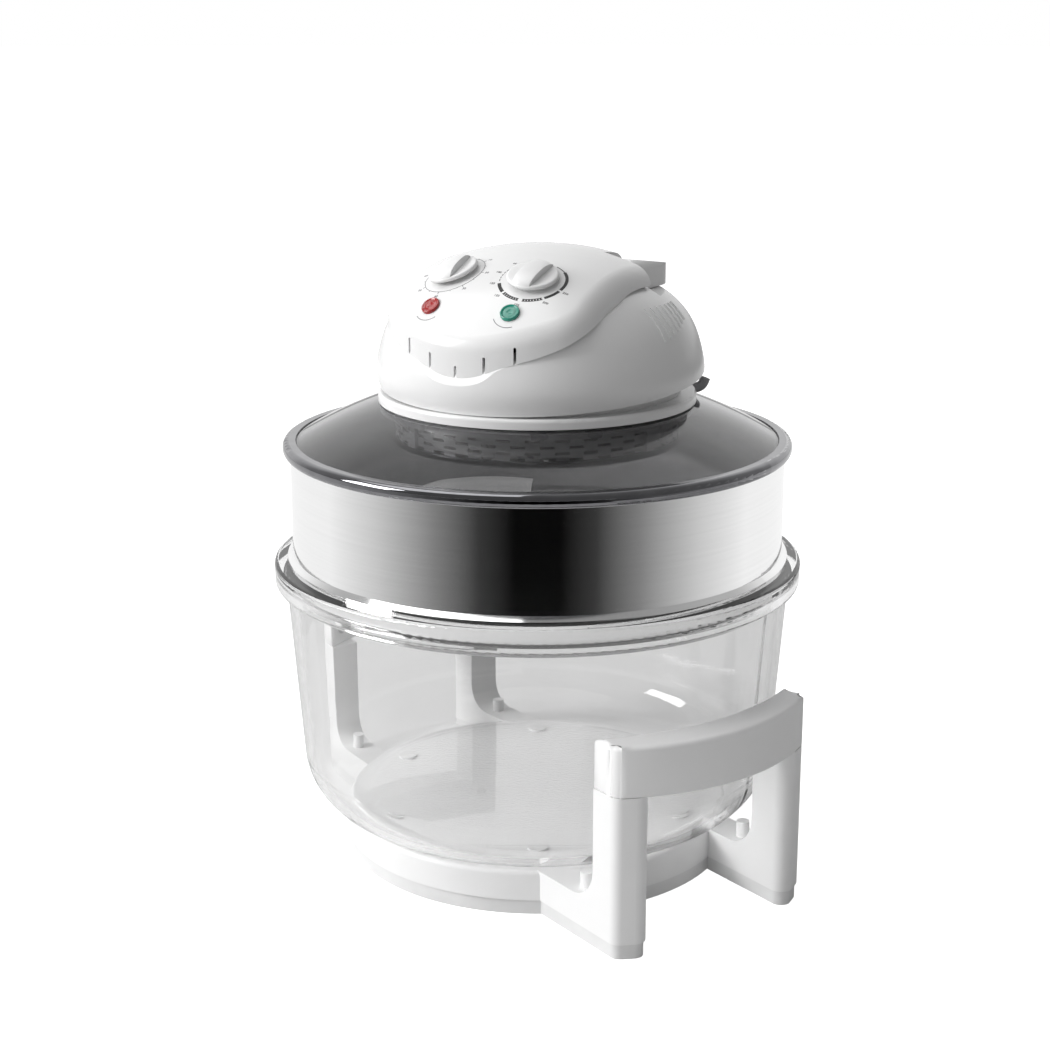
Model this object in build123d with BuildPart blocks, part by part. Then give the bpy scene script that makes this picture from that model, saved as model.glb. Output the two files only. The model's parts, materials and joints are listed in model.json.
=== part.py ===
from build123d import *
import math
import os

os.makedirs("parts", exist_ok=True)

# Convection oven with a glass bowl on a stand, a steel extender ring and a lid that carries
# the motor head. Sizes are in millimetres. The origin is on the table under the middle of
# the bowl, the controls face -Y and +Z is up.

# Stand that the bowl sits in
stand_turn = -24.0
stand_radius = 125.4
stand_wall = 4.0
stand_top = 28.5
stand_deck = 3.0
stand_round = 3.0
foot_height = 9.5
foot_inset = 1.2
foot_width = 22.0
pad_radius = 6.0
pad_height = 1.5
pad_ring_radius = 104.0
pad_count = 6
lug_radius = 4.0
lug_height = 10.0

# Legs and grips at both sides of the stand
leg_offset = 61.5
leg_width = 22.0
leg_inner = 154.0
leg_blend = 20.0
leg_round = 7.5
grip_reach = 195.0
grip_depth = 24.0
grip_sag = 21.0
grip_top = 131.0
grip_height = 31.0
grip_end_round = 7.5
grip_edge_round = 3.0
grip_foot_round = 1.5
spigot_length = 22.0
spigot_size = 9.0
spigot_gap = 0.1

# Screws
screw_radius = 1.5
screw_head_radius = 3.4
screw_head_height = 2.2
screw_cross = 0.8
grip_screw_length = 14.0
foot_screw_length = 15.0

# Glass bowl
bowl_flat_radius = 114.0
bowl_corner = 38.0
bowl_lean = 4.2
bowl_wall = 5.0
bowl_shoulder = 146.0
bowl_rim_height = 13.0
bowl_rim_width = 11.0
bowl_rim_round = 2.5

# Steel extender ring
ring_radius = 155.5
ring_sheet = 0.8
ring_height = 68.0
ring_skirt = 13.0
ring_skirt_gap = 1.2
ring_shelf = 2.6
ring_hem = 2.6
ring_hem_height = 4.0

# Glass lid and its steel rim
lid_sphere = 310.0
lid_glass_wall = 4.5
lid_edge_radius = 154.3
lid_hole_radius = 92.0
lid_rim_outer = 160.0
lid_rim_width = 8.2
lid_rim_height = 8.5
lid_rim_cover = 0.8
lid_lip_depth = 4.5
lid_lip_gap = 0.6
lid_lip_wall = 1.5

# Collar between the glass and the housing
collar_radius = 99.7
collar_height = 6.0
collar_wall = 2.5
collar_lift = 1.1
neck_radius = 90.0
neck_wall = 2.5
neck_top = 326.0
collar_deck = 3.0
spigot_radius = 91.5
spigot_wall = 7.5
spigot_drop = 5.0
clamp_radius = 98.0
clamp_height = 3.5
shaft_passage = 8.0

# Heater cage under the glass
cage_radius = 89.0
cage_sheet = 1.0
cage_bottom = 268.5
cage_ring_width = 2.4
cage_ring_height = 4.0
cage_rows = 4
cage_row_slots = 32
cage_slot_length = 9.0
cage_slot_height = 1.7
plate_rows = 3
plate_row_slots = 16
plate_slot_length = 14.0
plate_slot_width = 3.2
post_angles = (-116.0, -12.0, 116.0)
post_width = 8.0
lamp_radius = 62.0
lamp_tube = 5.0
lamp_height = 277.5
lamp_sweep = 312.0
lamp_cap_radius = 6.2
lamp_cap_length = 9.0
clip_width = 7.0
clip_sheet = 1.0
clip_inset = 24.0
reflector_sheet = 1.0
reflector_rise = 5.0

# Motor and fans, all on the upright middle axis
shaft_radius = 3.0
shaft_bottom = 272.5
shaft_top = 354.0
running_gap = 0.06
hot_fan_radius = 48.0
hot_fan_bottom = 276.0
hot_fan_height = 10.0
hot_fan_blades = 8
cold_fan_radius = 52.0
cold_fan_height = 9.0
cold_fan_blades = 7
fan_sheet = 1.2
fan_hub_radius = 8.0
fan_deck_gap = 3.0
nut_radius = 5.5
nut_height = 3.5
bracket_size = 100.0
bracket_sheet = 2.0
bracket_post_radius = 4.0
bracket_post_place = 44.0
bracket_height = 17.0
stator_length = 58.0
stator_depth = 46.0
stator_stack = 20.0
rotor_radius = 14.0
rotor_gap = 0.5
coil_radius = 13.0
coil_length = 30.0
bearing_radius = 7.0
bearing_height = 4.0

# Lower housing shell. The dome is given as reach from its middle and height, the seam
# under the cover as place along Y and height.
dome_outline = (
    (100.0, 300.0),
    (102.5, 311.0),
    (100.5, 327.0),
    (94.5, 343.0),
    (85.0, 355.0),
    (70.0, 365.0),
    (40.0, 374.0),
)
dome_foot = (96.0, 280.0)
dome_top = 378.0
seam_outline = (
    (-118.0, 296.0),
    (-96.3, 321.0),
    (-92.5, 328.0),
    (-84.0, 335.0),
    (-61.0, 348.8),
    (-22.0, 362.0),
    (12.0, 367.0),
)
seam_rear = 130.0
housing_shift = 4.0
housing_wall = 2.5
housing_tilt = 5.1
vent_count = 9
vent_width = 2.4
vent_height = 16.0
vent_bottom = 328.0
vent_step_angle = 7.0
rib_count = 7
rib_width = 1.5
rib_height = 0.9
rib_pitch = 6.0
rib_first = -13.0
rib_foot = 338.5
rib_foot_rise = 1.5
rib_top = 357.5
ledge_width = 10.0

# Top cover with the control panel. Its top is given as place along Y and height.
cover_outline = (
    (-110.0, 322.0),
    (-93.0, 346.0),
    (-78.8, 361.9),
    (-52.4, 378.2),
    (0.0, 389.5),
    (50.0, 383.8),
    (85.0, 374.0),
)
cover_front = 96.0
cover_side = 70.0
cover_rear = 46.0
cover_wall = 2.5
cover_corner = 30.0
cover_rear_corner = 20.0
cover_shoulder = 15.0
crown_axis = 204.0
slot_count = 5
slot_step_angle = 11.1
slot_width = 1.7
slot_height = 13.5
slot_bottom = 322.0
slot_rise = 6.4
dial_x = 27.3
dial_y = -52.4
dial_z = 376.0
dial_tilt = 21.0
dial_splay = 9.0
dial_boss_radius = 11.0
dial_boss_depth = 7.0
lens_x = 27.2
lens_y = -78.8
lens_z = 359.5
lens_tilt = 40.0
lens_radius = 6.0
lens_dome = 3.0
lens_depth = 9.0
cover_post_x = 31.0
cover_post_y = 33.0
cover_post_radius = 4.0
cover_screw_length = 10.0

# Knobs and what they turn
knob_radius = 15.5
knob_gap = 1.6
knob_disc = 5.0
knob_ridge_width = 13.0
knob_ridge_height = 6.0
knob_ridge_inset = 0.5
knob_ridge_taper = 6.0
knob_shaft_radius = 3.0
knob_shaft_reach = 9.0
control_radius = 15.0
control_depth = 16.0
thermostat_width = 26.0
thermostat_length = 30.0
thermostat_depth = 13.0
bush_radius = 4.5

# Safety handle at the back of the head
handle_half_width = 57.0
handle_arm = 19.0
handle_rear = 82.0
handle_bar = 18.0
handle_pivot_y = 28.0
handle_pivot_z = 371.0
handle_end_radius = 9.5
handle_rear_drop = 8.0
handle_corner = 24.0
handle_inner_corner = 10.0
handle_edge_round = 4.0
handle_shoulder = 8.0
recess_gap = 1.0
recess_floor = 361.0
pin_radius = 3.0
pin_length = 17.0
pin_cover_grip = 5.0
plunger_radius = 2.5
plunger_y = 48.0
plunger_gap = 0.3
switch_width = 10.0
switch_length = 18.0
switch_height = 15.0
plunger_depth = 9.0

# Electrical parts on the deck
terminal_length = 34.0
terminal_depth = 12.0
terminal_height = 12.0
terminal_ways = 4
terminal_place = 70.0
cutout_radius = 8.0
cutout_height = 5.0
cutout_place = 30.0

# Cord gland
gland_angle = 39.0
gland_radius = 3.2
gland_bend = 6.0
gland_rise = 70.0
gland_tail = 2.5
gland_bore = 1.9

# Heights that follow from the sizes above
bowl_bottom = stand_top + pad_height
bowl_rim_top = bowl_bottom + bowl_shoulder + bowl_rim_height + 5.0
lid_seat = bowl_rim_top + ring_height
lid_rim_top = lid_seat + lid_rim_height
grip_bottom = grip_top - grip_height
grip_half_width = leg_offset + leg_width / 2
grip_inner_radius = grip_reach - grip_depth
grip_end_reach = grip_reach - grip_sag
bow_radius = (grip_half_width**2 + grip_sag**2) / (2 * grip_sag)
bow_centre = grip_reach - bow_radius
rim_inner = lid_rim_outer - lid_rim_width
lid_centre = lid_rim_top - lid_rim_cover - math.sqrt(lid_sphere**2 - rim_inner**2)
handle_angles = (stand_turn, stand_turn + 180.0)


def on_sphere(radius, sphere):
    """Point of the lid's section at a distance from the axis."""
    return (radius, lid_centre + math.sqrt(sphere**2 - radius**2))


def level(angle, height):
    """Level plane whose X points along a direction given in degrees."""
    turn = math.radians(angle)
    return Plane(origin=(0, 0, height), x_dir=(math.cos(turn), math.sin(turn), 0), z_dir=(0, 0, 1))


def upright(angle, reach):
    """Upright plane that faces outward at a distance from the axis, with its Y up."""
    turn = math.radians(angle)
    outward = (math.cos(turn), math.sin(turn), 0)
    place = (reach * outward[0], reach * outward[1], 0)
    return Plane(origin=place, x_dir=(-outward[1], outward[0], 0), z_dir=outward)


def panel_plane(x, y, z, tilt, splay):
    """Plane that lies on the control panel, leaning forward and outward."""
    side = math.copysign(math.tan(math.radians(splay)), x)
    forward = -math.tan(math.radians(tilt))
    return Plane(origin=(x, y, z), x_dir=(1, 0, -side), z_dir=(side, forward, 1))


def save(builder, name):
    builder.part.label = name
    export_step(builder.part, f"parts/{name}.step")


# Stand

def leg_plan(angle, height, trim, start):
    """Plan of the two arms and legs of one side, from the ring to the bowed front."""
    with BuildSketch(level(angle, height)) as plan:
        for side in (-1, 1):
            with Locations((grip_end_reach, side * leg_offset)):
                Rectangle(2 * (grip_end_reach - leg_offset), leg_width - 2 * trim)
        with Locations((bow_centre, 0)):
            Circle(bow_radius - trim, mode=Mode.INTERSECT)
        Circle(start, mode=Mode.SUBTRACT)
        outer = [corner for corner in plan.vertices() if corner.X > leg_inner]
        fillet(outer, leg_round - trim)
    return plan.sketch


def grip_screw_plane(angle, side):
    """Where a grip screw enters, on the inner face of the grip, pointing outward."""
    turn = math.radians(angle)
    outward = Vector(math.cos(turn), math.sin(turn), 0)
    across = Vector(-math.sin(turn), math.cos(turn), 0)
    reach = math.sqrt(grip_inner_radius**2 - (leg_offset + spigot_size / 2) ** 2)
    place = outward * reach + across * (side * leg_offset)
    place += Vector(0, 0, grip_bottom + spigot_length / 2)
    return Plane(origin=place, x_dir=across, z_dir=outward * -1)


def foot_screw_plane(angle, side):
    """Where a foot screw's head lies in the foot plate, facing down."""
    turn = math.radians(angle)
    outward = Vector(math.cos(turn), math.sin(turn), 0)
    across = Vector(-math.sin(turn), math.cos(turn), 0)
    place = outward * (leg_inner - leg_blend) + across * (side * leg_offset)
    place += Vector(0, 0, screw_head_height)
    return Plane(origin=place, x_dir=outward, z_dir=(0, 0, -1))


def spigot_reach():
    """Distance from the axis to the middle of a leg's spigot, along the handle."""
    inner = math.sqrt(grip_inner_radius**2 - leg_offset**2)
    outer = bow_centre + math.sqrt(bow_radius**2 - leg_offset**2)
    return (inner + outer) / 2


with BuildPart() as base_ring:
    with BuildSketch(Plane.XZ):
        with BuildLine():
            Polyline(
                (0, stand_top - stand_deck),
                (stand_radius - stand_wall, stand_top - stand_deck),
                (stand_radius - stand_wall, foot_height),
                (stand_radius, foot_height),
                (stand_radius, stand_top - stand_round),
            )
            RadiusArc(
                (stand_radius, stand_top - stand_round),
                (stand_radius - stand_round, stand_top),
                -stand_round,
            )
            Polyline(
                (stand_radius - stand_round, stand_top),
                (0, stand_top),
                (0, stand_top - stand_deck),
            )
        make_face()
    revolve(axis=Axis.Z)
    for angle in handle_angles:
        add(leg_plan(angle, foot_height, 0, stand_radius - stand_wall / 2))
        extrude(amount=grip_bottom - foot_height)
        turn = math.radians(angle)
        side_plane = Plane(
            origin=(0, 0, 0), x_dir=(math.cos(turn), math.sin(turn), 0),
            z_dir=(math.sin(turn), -math.cos(turn), 0),
        )
        with BuildSketch(side_plane) as clearance:
            with Locations((leg_inner, stand_top)):
                Rectangle(
                    leg_inner - stand_radius / 2, grip_top, align=(Align.MAX, Align.MIN)
                )
            corner = clearance.vertices().group_by(Axis.X)[-1].sort_by(Axis.Y)[0]
            fillet(corner, leg_blend)
        extrude(amount=grip_reach, both=True, mode=Mode.SUBTRACT)
        for side in (-1, 1):
            with BuildSketch(level(angle, grip_bottom)):
                with Locations((spigot_reach(), side * leg_offset)):
                    Rectangle(spigot_size, spigot_size)
            extrude(amount=spigot_length)
            lug_reach = math.sqrt(
                (bowl_flat_radius + bowl_corner - lug_radius) ** 2 - leg_offset**2
            )
            with BuildSketch(level(angle, stand_top)):
                with Locations((lug_reach, side * leg_offset)):
                    Circle(lug_radius)
            extrude(amount=lug_height)
            with Locations(grip_screw_plane(angle, side)):
                Hole(screw_radius, depth=grip_screw_length)
            with Locations(foot_screw_plane(angle, side)):
                Hole(screw_radius, depth=foot_screw_length)
save(base_ring, "base_ring")


def make_grip(angle):
    """Bowed grip that caps the two legs of one side."""
    with BuildPart() as grip:
        with BuildSketch(level(angle, grip_bottom)) as outline:
            with Locations((bow_centre, 0)):
                Circle(bow_radius)
            Circle(grip_inner_radius, mode=Mode.SUBTRACT)
            with Locations((grip_end_reach, 0)):
                Rectangle(bow_radius, 2 * grip_half_width, mode=Mode.INTERSECT)
            fillet(outline.vertices(), grip_end_round)
        extrude(amount=grip_height)
        fillet(grip.faces().sort_by(Axis.Z)[-1].edges(), grip_edge_round)
        fillet(grip.faces().sort_by(Axis.Z)[0].edges().filter_by(GeomType.CIRCLE), grip_foot_round)
        for side in (-1, 1):
            with BuildSketch(level(angle, grip_bottom)):
                with Locations((spigot_reach(), side * leg_offset)):
                    Rectangle(spigot_size + 2 * spigot_gap, spigot_size + 2 * spigot_gap)
            extrude(amount=spigot_length + spigot_gap, mode=Mode.SUBTRACT)
            with Locations(grip_screw_plane(angle, side)):
                CounterBoreHole(
                    screw_radius, screw_head_radius, screw_head_height, depth=grip_screw_length
                )
    return grip


for handle_angle, grip_name in zip(handle_angles, ("right_grip", "left_grip")):
    grip = make_grip(handle_angle)
    save(grip, grip_name)


def screw_at(plane, length):
    """Pan head screw whose head top lies on a plane and whose shank points into it."""
    with BuildPart() as screw:
        with BuildSketch(plane):
            Circle(screw_head_radius)
        extrude(amount=-screw_head_height)
        with BuildSketch(plane):
            Circle(screw_radius)
        extrude(amount=-length)
        with BuildSketch(plane):
            Rectangle(screw_head_radius, screw_cross)
            Rectangle(screw_cross, screw_head_radius)
        extrude(amount=-screw_cross, mode=Mode.SUBTRACT)
    return screw.part


def save_group(pieces, name):
    """Write several loose copies of a piece as one node."""
    group = Compound(label=name, children=pieces)
    export_step(group, f"parts/{name}.step")


grip_screws = []
for handle_angle in handle_angles:
    for side in (-1, 1):
        grip_screws.append(screw_at(grip_screw_plane(handle_angle, side), grip_screw_length))
save_group(grip_screws, "grip_screws")

with BuildPart() as foot_plate:
    with BuildSketch(Plane.XY):
        Circle(stand_radius - foot_inset)
        Circle(stand_radius - foot_width, mode=Mode.SUBTRACT)
        for angle in handle_angles:
            add(leg_plan(angle, 0, foot_inset, stand_radius - 2 * foot_inset))
    extrude(amount=foot_height)
    for angle in handle_angles:
        for side in (-1, 1):
            with Locations(foot_screw_plane(angle, side).offset(screw_head_height)):
                CounterBoreHole(
                    screw_radius, screw_head_radius, 2 * screw_head_height, depth=foot_height
                )
save(foot_plate, "foot_plate")

foot_screws = []
for handle_angle in handle_angles:
    for side in (-1, 1):
        foot_screws.append(screw_at(foot_screw_plane(handle_angle, side), foot_screw_length))
save_group(foot_screws, "foot_screws")

pads = []
for place in PolarLocations(pad_ring_radius, pad_count):
    with BuildPart() as pad:
        with BuildSketch(level(0, stand_top)):
            with Locations(place.position):
                Circle(pad_radius)
        extrude(amount=pad_height)
    pads.append(pad.part)
save_group(pads, "bowl_pads")


# Glass bowl

with BuildPart() as glass_bowl:
    lean = math.radians(bowl_lean)
    corner_height = bowl_bottom + bowl_corner
    inner_corner = bowl_corner - bowl_wall
    shoulder_height = bowl_bottom + bowl_shoulder
    wall_start = bowl_flat_radius + bowl_corner * math.cos(lean)
    wall_foot = corner_height - bowl_corner * math.sin(lean)
    wall_end = wall_start + (shoulder_height - wall_foot) * math.tan(lean)
    inner_start = bowl_flat_radius + inner_corner * math.cos(lean)
    inner_foot = corner_height - inner_corner * math.sin(lean)
    inner_end = inner_start + (bowl_rim_top - inner_foot) * math.tan(lean)
    rim_reach = inner_end + bowl_rim_width
    with BuildSketch(Plane.XZ) as section:
        with BuildLine():
            Line((0, bowl_bottom), (bowl_flat_radius, bowl_bottom))
            CenterArc((bowl_flat_radius, corner_height), bowl_corner, -90, 90 - bowl_lean)
            Polyline(
                (wall_start, wall_foot),
                (wall_end, shoulder_height),
                (rim_reach, bowl_rim_top - bowl_rim_height),
                (rim_reach, bowl_rim_top),
                (inner_end, bowl_rim_top),
                (inner_start, inner_foot),
            )
            CenterArc((bowl_flat_radius, corner_height), inner_corner, -bowl_lean, bowl_lean - 90)
            Polyline(
                (bowl_flat_radius, bowl_bottom + bowl_wall),
                (0, bowl_bottom + bowl_wall),
                (0, bowl_bottom),
            )
        make_face()
        rim_corners = [corner for corner in section.vertices() if corner.X > rim_reach - 0.1]
        fillet(rim_corners, bowl_rim_round)
    revolve(axis=Axis.Z)
save(glass_bowl, "glass_bowl")


# Steel extender ring

with BuildPart() as extender_ring:
    skirt_radius = inner_end - ring_skirt_gap
    skirt_foot = bowl_rim_top - ring_skirt
    shelf_reach = inner_end + ring_shelf
    hem_radius = ring_radius - ring_hem
    with BuildSketch(Plane.XZ):
        with BuildLine():
            Polyline(
                (skirt_radius, skirt_foot),
                (skirt_radius, bowl_rim_top),
                (shelf_reach, bowl_rim_top),
                (shelf_reach, bowl_rim_top + ring_shelf),
                (ring_radius, bowl_rim_top + 2 * ring_shelf),
                (ring_radius, lid_seat),
                (hem_radius, lid_seat),
                (hem_radius, lid_seat - ring_hem_height),
                (ring_radius - ring_sheet, lid_seat - ring_hem_height),
                (ring_radius - ring_sheet, bowl_rim_top + 2 * ring_shelf),
                (skirt_radius - ring_sheet, bowl_rim_top + ring_sheet),
                (skirt_radius - ring_sheet, skirt_foot),
                (skirt_radius, skirt_foot),
            )
        make_face()
    revolve(axis=Axis.Z)
save(extender_ring, "extender_ring")


# Glass lid with its rim

with BuildPart() as lid_glass:
    outside = lid_sphere
    inside = lid_sphere - lid_glass_wall
    middle = (lid_edge_radius + lid_hole_radius) / 2
    with BuildSketch(Plane.XZ):
        with BuildLine():
            ThreePointArc(
                on_sphere(lid_edge_radius, outside),
                on_sphere(middle, outside),
                on_sphere(lid_hole_radius, outside),
            )
            Line(on_sphere(lid_hole_radius, outside), on_sphere(lid_hole_radius, inside))
            ThreePointArc(
                on_sphere(lid_hole_radius, inside),
                on_sphere(middle, inside),
                on_sphere(lid_edge_radius, inside),
            )
            Line(on_sphere(lid_edge_radius, inside), on_sphere(lid_edge_radius, outside))
        make_face()
    revolve(axis=Axis.Z)
save(lid_glass, "lid_glass")

with BuildPart() as lid_rim:
    lip_radius = ring_radius - ring_hem - lid_lip_gap
    with BuildSketch(Plane.XZ) as section:
        with Locations((lid_rim_outer, lid_seat)):
            Rectangle(lid_rim_width, lid_rim_height, align=(Align.MAX, Align.MIN))
        fillet(section.vertices().group_by(Axis.X)[-1], lid_rim_height / 2 - 0.4)
        with Locations((lip_radius, lid_seat + 1.0)):
            Rectangle(lid_lip_wall, lid_lip_depth + 1.0, align=(Align.MAX, Align.MAX))
    revolve(axis=Axis.Z)
    add(lid_glass.part, mode=Mode.SUBTRACT)
save(lid_rim, "lid_rim")


# Collar that joins the glass and the housing

collar_bottom = on_sphere(collar_radius, lid_sphere)[1] + collar_lift
collar_top = collar_bottom + collar_height
deck_top = collar_top + collar_deck
spigot_bottom = collar_bottom - spigot_drop
cage_top = spigot_bottom - clamp_height

with BuildPart() as cord_gland:
    turn = math.radians(gland_angle)
    gland_plane = Plane(
        origin=(0, 0, 0), x_dir=(math.cos(turn), math.sin(turn), 0),
        z_dir=(math.sin(turn), -math.cos(turn), 0),
    )
    gland_height = collar_bottom + collar_height / 2
    with BuildLine(gland_plane) as gland_path:
        run = Line((collar_radius - collar_wall, gland_height), (collar_radius + 2, gland_height))
        bend = JernArc(run @ 1, run % 1, gland_bend, gland_rise)
        Line(bend @ 1, (bend @ 1) + (bend % 1) * gland_tail)
    with BuildSketch(upright(gland_angle, collar_radius - collar_wall)):
        with Locations((0, gland_height)):
            Circle(gland_radius)
            Circle(gland_bore, mode=Mode.SUBTRACT)
    sweep()
save(cord_gland, "cord_gland")

with BuildPart() as collar:
    with BuildSketch(Plane.XZ) as section:
        with BuildLine():
            Polyline(
                (collar_radius - collar_wall, collar_bottom),
                (collar_radius, collar_bottom),
                (collar_radius, collar_top),
                (neck_radius, collar_top),
                (neck_radius, neck_top),
                (neck_radius - neck_wall, neck_top),
                (neck_radius - neck_wall, deck_top),
                (shaft_passage, deck_top),
                (shaft_passage, collar_top),
                (spigot_radius - spigot_wall, collar_top),
                (spigot_radius - spigot_wall, spigot_bottom),
                (spigot_radius, spigot_bottom),
                (spigot_radius, collar_top - collar_wall),
                (collar_radius - collar_wall, collar_top - collar_wall),
                (collar_radius - collar_wall, collar_bottom),
            )
        make_face()
        rim = [v for v in section.vertices() if v.X > collar_radius - 0.1 and v.Y > collar_top - 0.1]
        fillet(rim, 2.0)
    revolve(axis=Axis.Z)
    with BuildSketch(upright(gland_angle, collar_radius - 2 * collar_wall)):
        with Locations((0, gland_height)):
            Circle(gland_radius)
    extrude(amount=3 * collar_wall, mode=Mode.SUBTRACT)
save(collar, "collar")

with BuildPart() as collar_gasket:
    with BuildSketch(Plane.XZ):
        with Locations((lid_hole_radius + 0.5, collar_top - collar_wall)):
            Rectangle(
                collar_radius - collar_wall - lid_hole_radius - 1.0,
                collar_height,
                align=(Align.MIN, Align.MAX),
            )
    revolve(axis=Axis.Z)
    add(lid_glass.part, mode=Mode.SUBTRACT)
    below = collar_gasket.solids().sort_by(Axis.Z)
save_group([below[-1]], "collar_gasket")

with BuildPart() as clamp_ring:
    with BuildSketch(Plane.XZ):
        with Locations((clamp_radius, cage_top)):
            Rectangle(
                clamp_radius - spigot_radius + spigot_wall,
                clamp_height + 4.0,
                align=(Align.MAX, Align.MIN),
            )
        with BuildLine():
            Polyline(
                (spigot_radius, spigot_bottom),
                (spigot_radius, neck_top),
                (spigot_radius - 2 * spigot_wall, neck_top),
                (spigot_radius - 2 * spigot_wall, spigot_bottom),
                (spigot_radius, spigot_bottom),
            )
        make_face(mode=Mode.SUBTRACT)
    revolve(axis=Axis.Z)
    add(lid_glass.part, mode=Mode.SUBTRACT)
save_group([clamp_ring.solids().sort_by(Axis.Z)[0]], "clamp_ring")


# Heater cage, lamp and reflector under the glass

cage_plate_top = cage_bottom + cage_sheet
cage_height = cage_top - cage_plate_top

with BuildPart() as cage_wall:
    with BuildSketch(Plane.XY.offset(cage_plate_top)):
        Circle(cage_radius)
        Circle(cage_radius - cage_sheet, mode=Mode.SUBTRACT)
    extrude(amount=cage_height)
    row_pitch = cage_height / (cage_rows + 0.5)
    slot_angle = 360.0 / cage_row_slots
    for row in range(cage_rows):
        row_height = cage_plate_top + (row + 0.75) * row_pitch
        for slot in range(cage_row_slots):
            with BuildSketch(upright((slot + row % 2 / 2) * slot_angle, cage_radius)):
                with Locations((0, row_height)):
                    Rectangle(cage_slot_length, cage_slot_height)
    extrude(amount=-3 * cage_sheet, mode=Mode.SUBTRACT)
save(cage_wall, "cage_wall")

with BuildPart() as cage_plate:
    with BuildSketch(Plane.XY.offset(cage_bottom)):
        Circle(cage_radius)
        Circle(2 * shaft_radius, mode=Mode.SUBTRACT)
        for row in range(plate_rows):
            reach = cage_radius * (row + 0.8) / (plate_rows + 0.2)
            with PolarLocations(reach, plate_row_slots, start_angle=5.6 * row):
                SlotOverall(plate_slot_length, plate_slot_width, mode=Mode.SUBTRACT)
    extrude(amount=cage_sheet)
save(cage_plate, "cage_plate")

with BuildPart() as cage_ring:
    with BuildSketch(Plane.XZ) as section:
        with Locations((cage_radius, cage_bottom - cage_sheet)):
            Rectangle(cage_ring_width, cage_ring_height, align=(Align.MIN, Align.MIN))
        fillet(section.vertices().group_by(Axis.X)[-1], cage_ring_width / 2)
    revolve(axis=Axis.Z)
save(cage_ring, "cage_ring")

posts = []
post_foot = cage_bottom - cage_sheet + cage_ring_height
for post_angle in post_angles:
    with BuildPart() as post:
        with BuildSketch(level(0, post_foot)):
            Circle(cage_radius + cage_ring_width)
            Circle(cage_radius, mode=Mode.SUBTRACT)
        extrude(amount=cage_top - post_foot)
        with BuildSketch(level(post_angle, post_foot)):
            with Locations((cage_radius, 0)):
                Rectangle(2 * cage_ring_width, post_width)
        extrude(amount=cage_top - post_foot, mode=Mode.INTERSECT)
    posts.append(post.part)
save_group(posts, "cage_posts")

reflector_top = spigot_bottom + reflector_rise
with BuildPart() as reflector:
    with BuildSketch(Plane.XZ):
        with BuildLine():
            Polyline(
                (spigot_radius - spigot_wall, spigot_bottom),
                (spigot_radius - spigot_wall, spigot_bottom + reflector_sheet),
                (lamp_radius + 2 * lamp_tube, spigot_bottom + reflector_sheet),
                (lamp_radius - 2 * lamp_tube, reflector_top + reflector_sheet),
                (shaft_passage, reflector_top + reflector_sheet),
                (shaft_passage, reflector_top),
                (lamp_radius - 2 * lamp_tube, reflector_top),
                (lamp_radius + 2 * lamp_tube, spigot_bottom),
                (spigot_radius - spigot_wall, spigot_bottom),
            )
        make_face()
    revolve(axis=Axis.Z)
save(reflector, "reflector")

lamp_start = 90.0 + (360.0 - lamp_sweep) / 2
lamp_end = lamp_start + lamp_sweep


def across_ring(angle, height, radius):
    """Upright plane that cuts a ring square at an angle, with X outward and Y up."""
    turn = math.radians(angle)
    outward = (math.cos(turn), math.sin(turn), 0)
    place = (radius * outward[0], radius * outward[1], height)
    return Plane(origin=place, x_dir=outward, z_dir=(outward[1], -outward[0], 0))


with BuildPart() as halogen_lamp:
    with BuildLine(Plane.XY.offset(lamp_height)):
        CenterArc((0, 0), lamp_radius, lamp_start, lamp_sweep)
    with BuildSketch(across_ring(lamp_start, lamp_height, lamp_radius)):
        Circle(lamp_tube)
    sweep()
save(halogen_lamp, "halogen_lamp")

caps = []
for cap_angle, direction in ((lamp_start, 1), (lamp_end, -1)):
    with BuildPart() as cap:
        with BuildSketch(across_ring(cap_angle, lamp_height, lamp_radius)):
            Circle(lamp_cap_radius)
        extrude(amount=direction * lamp_cap_length)
    caps.append(cap.part)
save_group(caps, "lamp_caps")

clips = []
for clip_angle in (lamp_start + clip_inset, 270.0, lamp_end - clip_inset):
    with BuildPart() as clip:
        with BuildSketch(across_ring(clip_angle, lamp_height, lamp_radius)):
            Circle(lamp_tube + clip_sheet)
            with Locations((0, lamp_tube)):
                Rectangle(clip_sheet, reflector_top - lamp_height, align=(Align.CENTER, Align.MIN))
        extrude(amount=clip_width / 2, both=True)
        add(halogen_lamp.part, mode=Mode.SUBTRACT)
        add(reflector.part, mode=Mode.SUBTRACT)
    clips.append(clip.solids().sort_by(Axis.Z)[0])
save_group(clips, "lamp_clips")


# Motor with its bracket

bracket_bottom = deck_top + bracket_height
bracket_top = bracket_bottom + bracket_sheet
stator_top = bracket_top + bearing_height + stator_stack

with BuildPart() as motor_posts:
    with BuildSketch(Plane.XY.offset(deck_top)):
        with GridLocations(2 * bracket_post_place, 2 * bracket_post_place, 2, 2):
            Circle(bracket_post_radius)
    extrude(amount=bracket_height)
save_group(list(motor_posts.solids()), "motor_posts")

with BuildPart() as motor_bracket:
    with BuildSketch(Plane.XY.offset(bracket_bottom)) as outline:
        RectangleRounded(bracket_size, bracket_size, 3 * bracket_post_radius)
        Circle(bearing_radius, mode=Mode.SUBTRACT)
        with GridLocations(bracket_size / 2, bracket_size / 1.4, 2, 2):
            SlotOverall(bracket_size / 3, bracket_size / 12, mode=Mode.SUBTRACT)
    extrude(amount=bracket_sheet)
save(motor_bracket, "motor_bracket")

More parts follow.
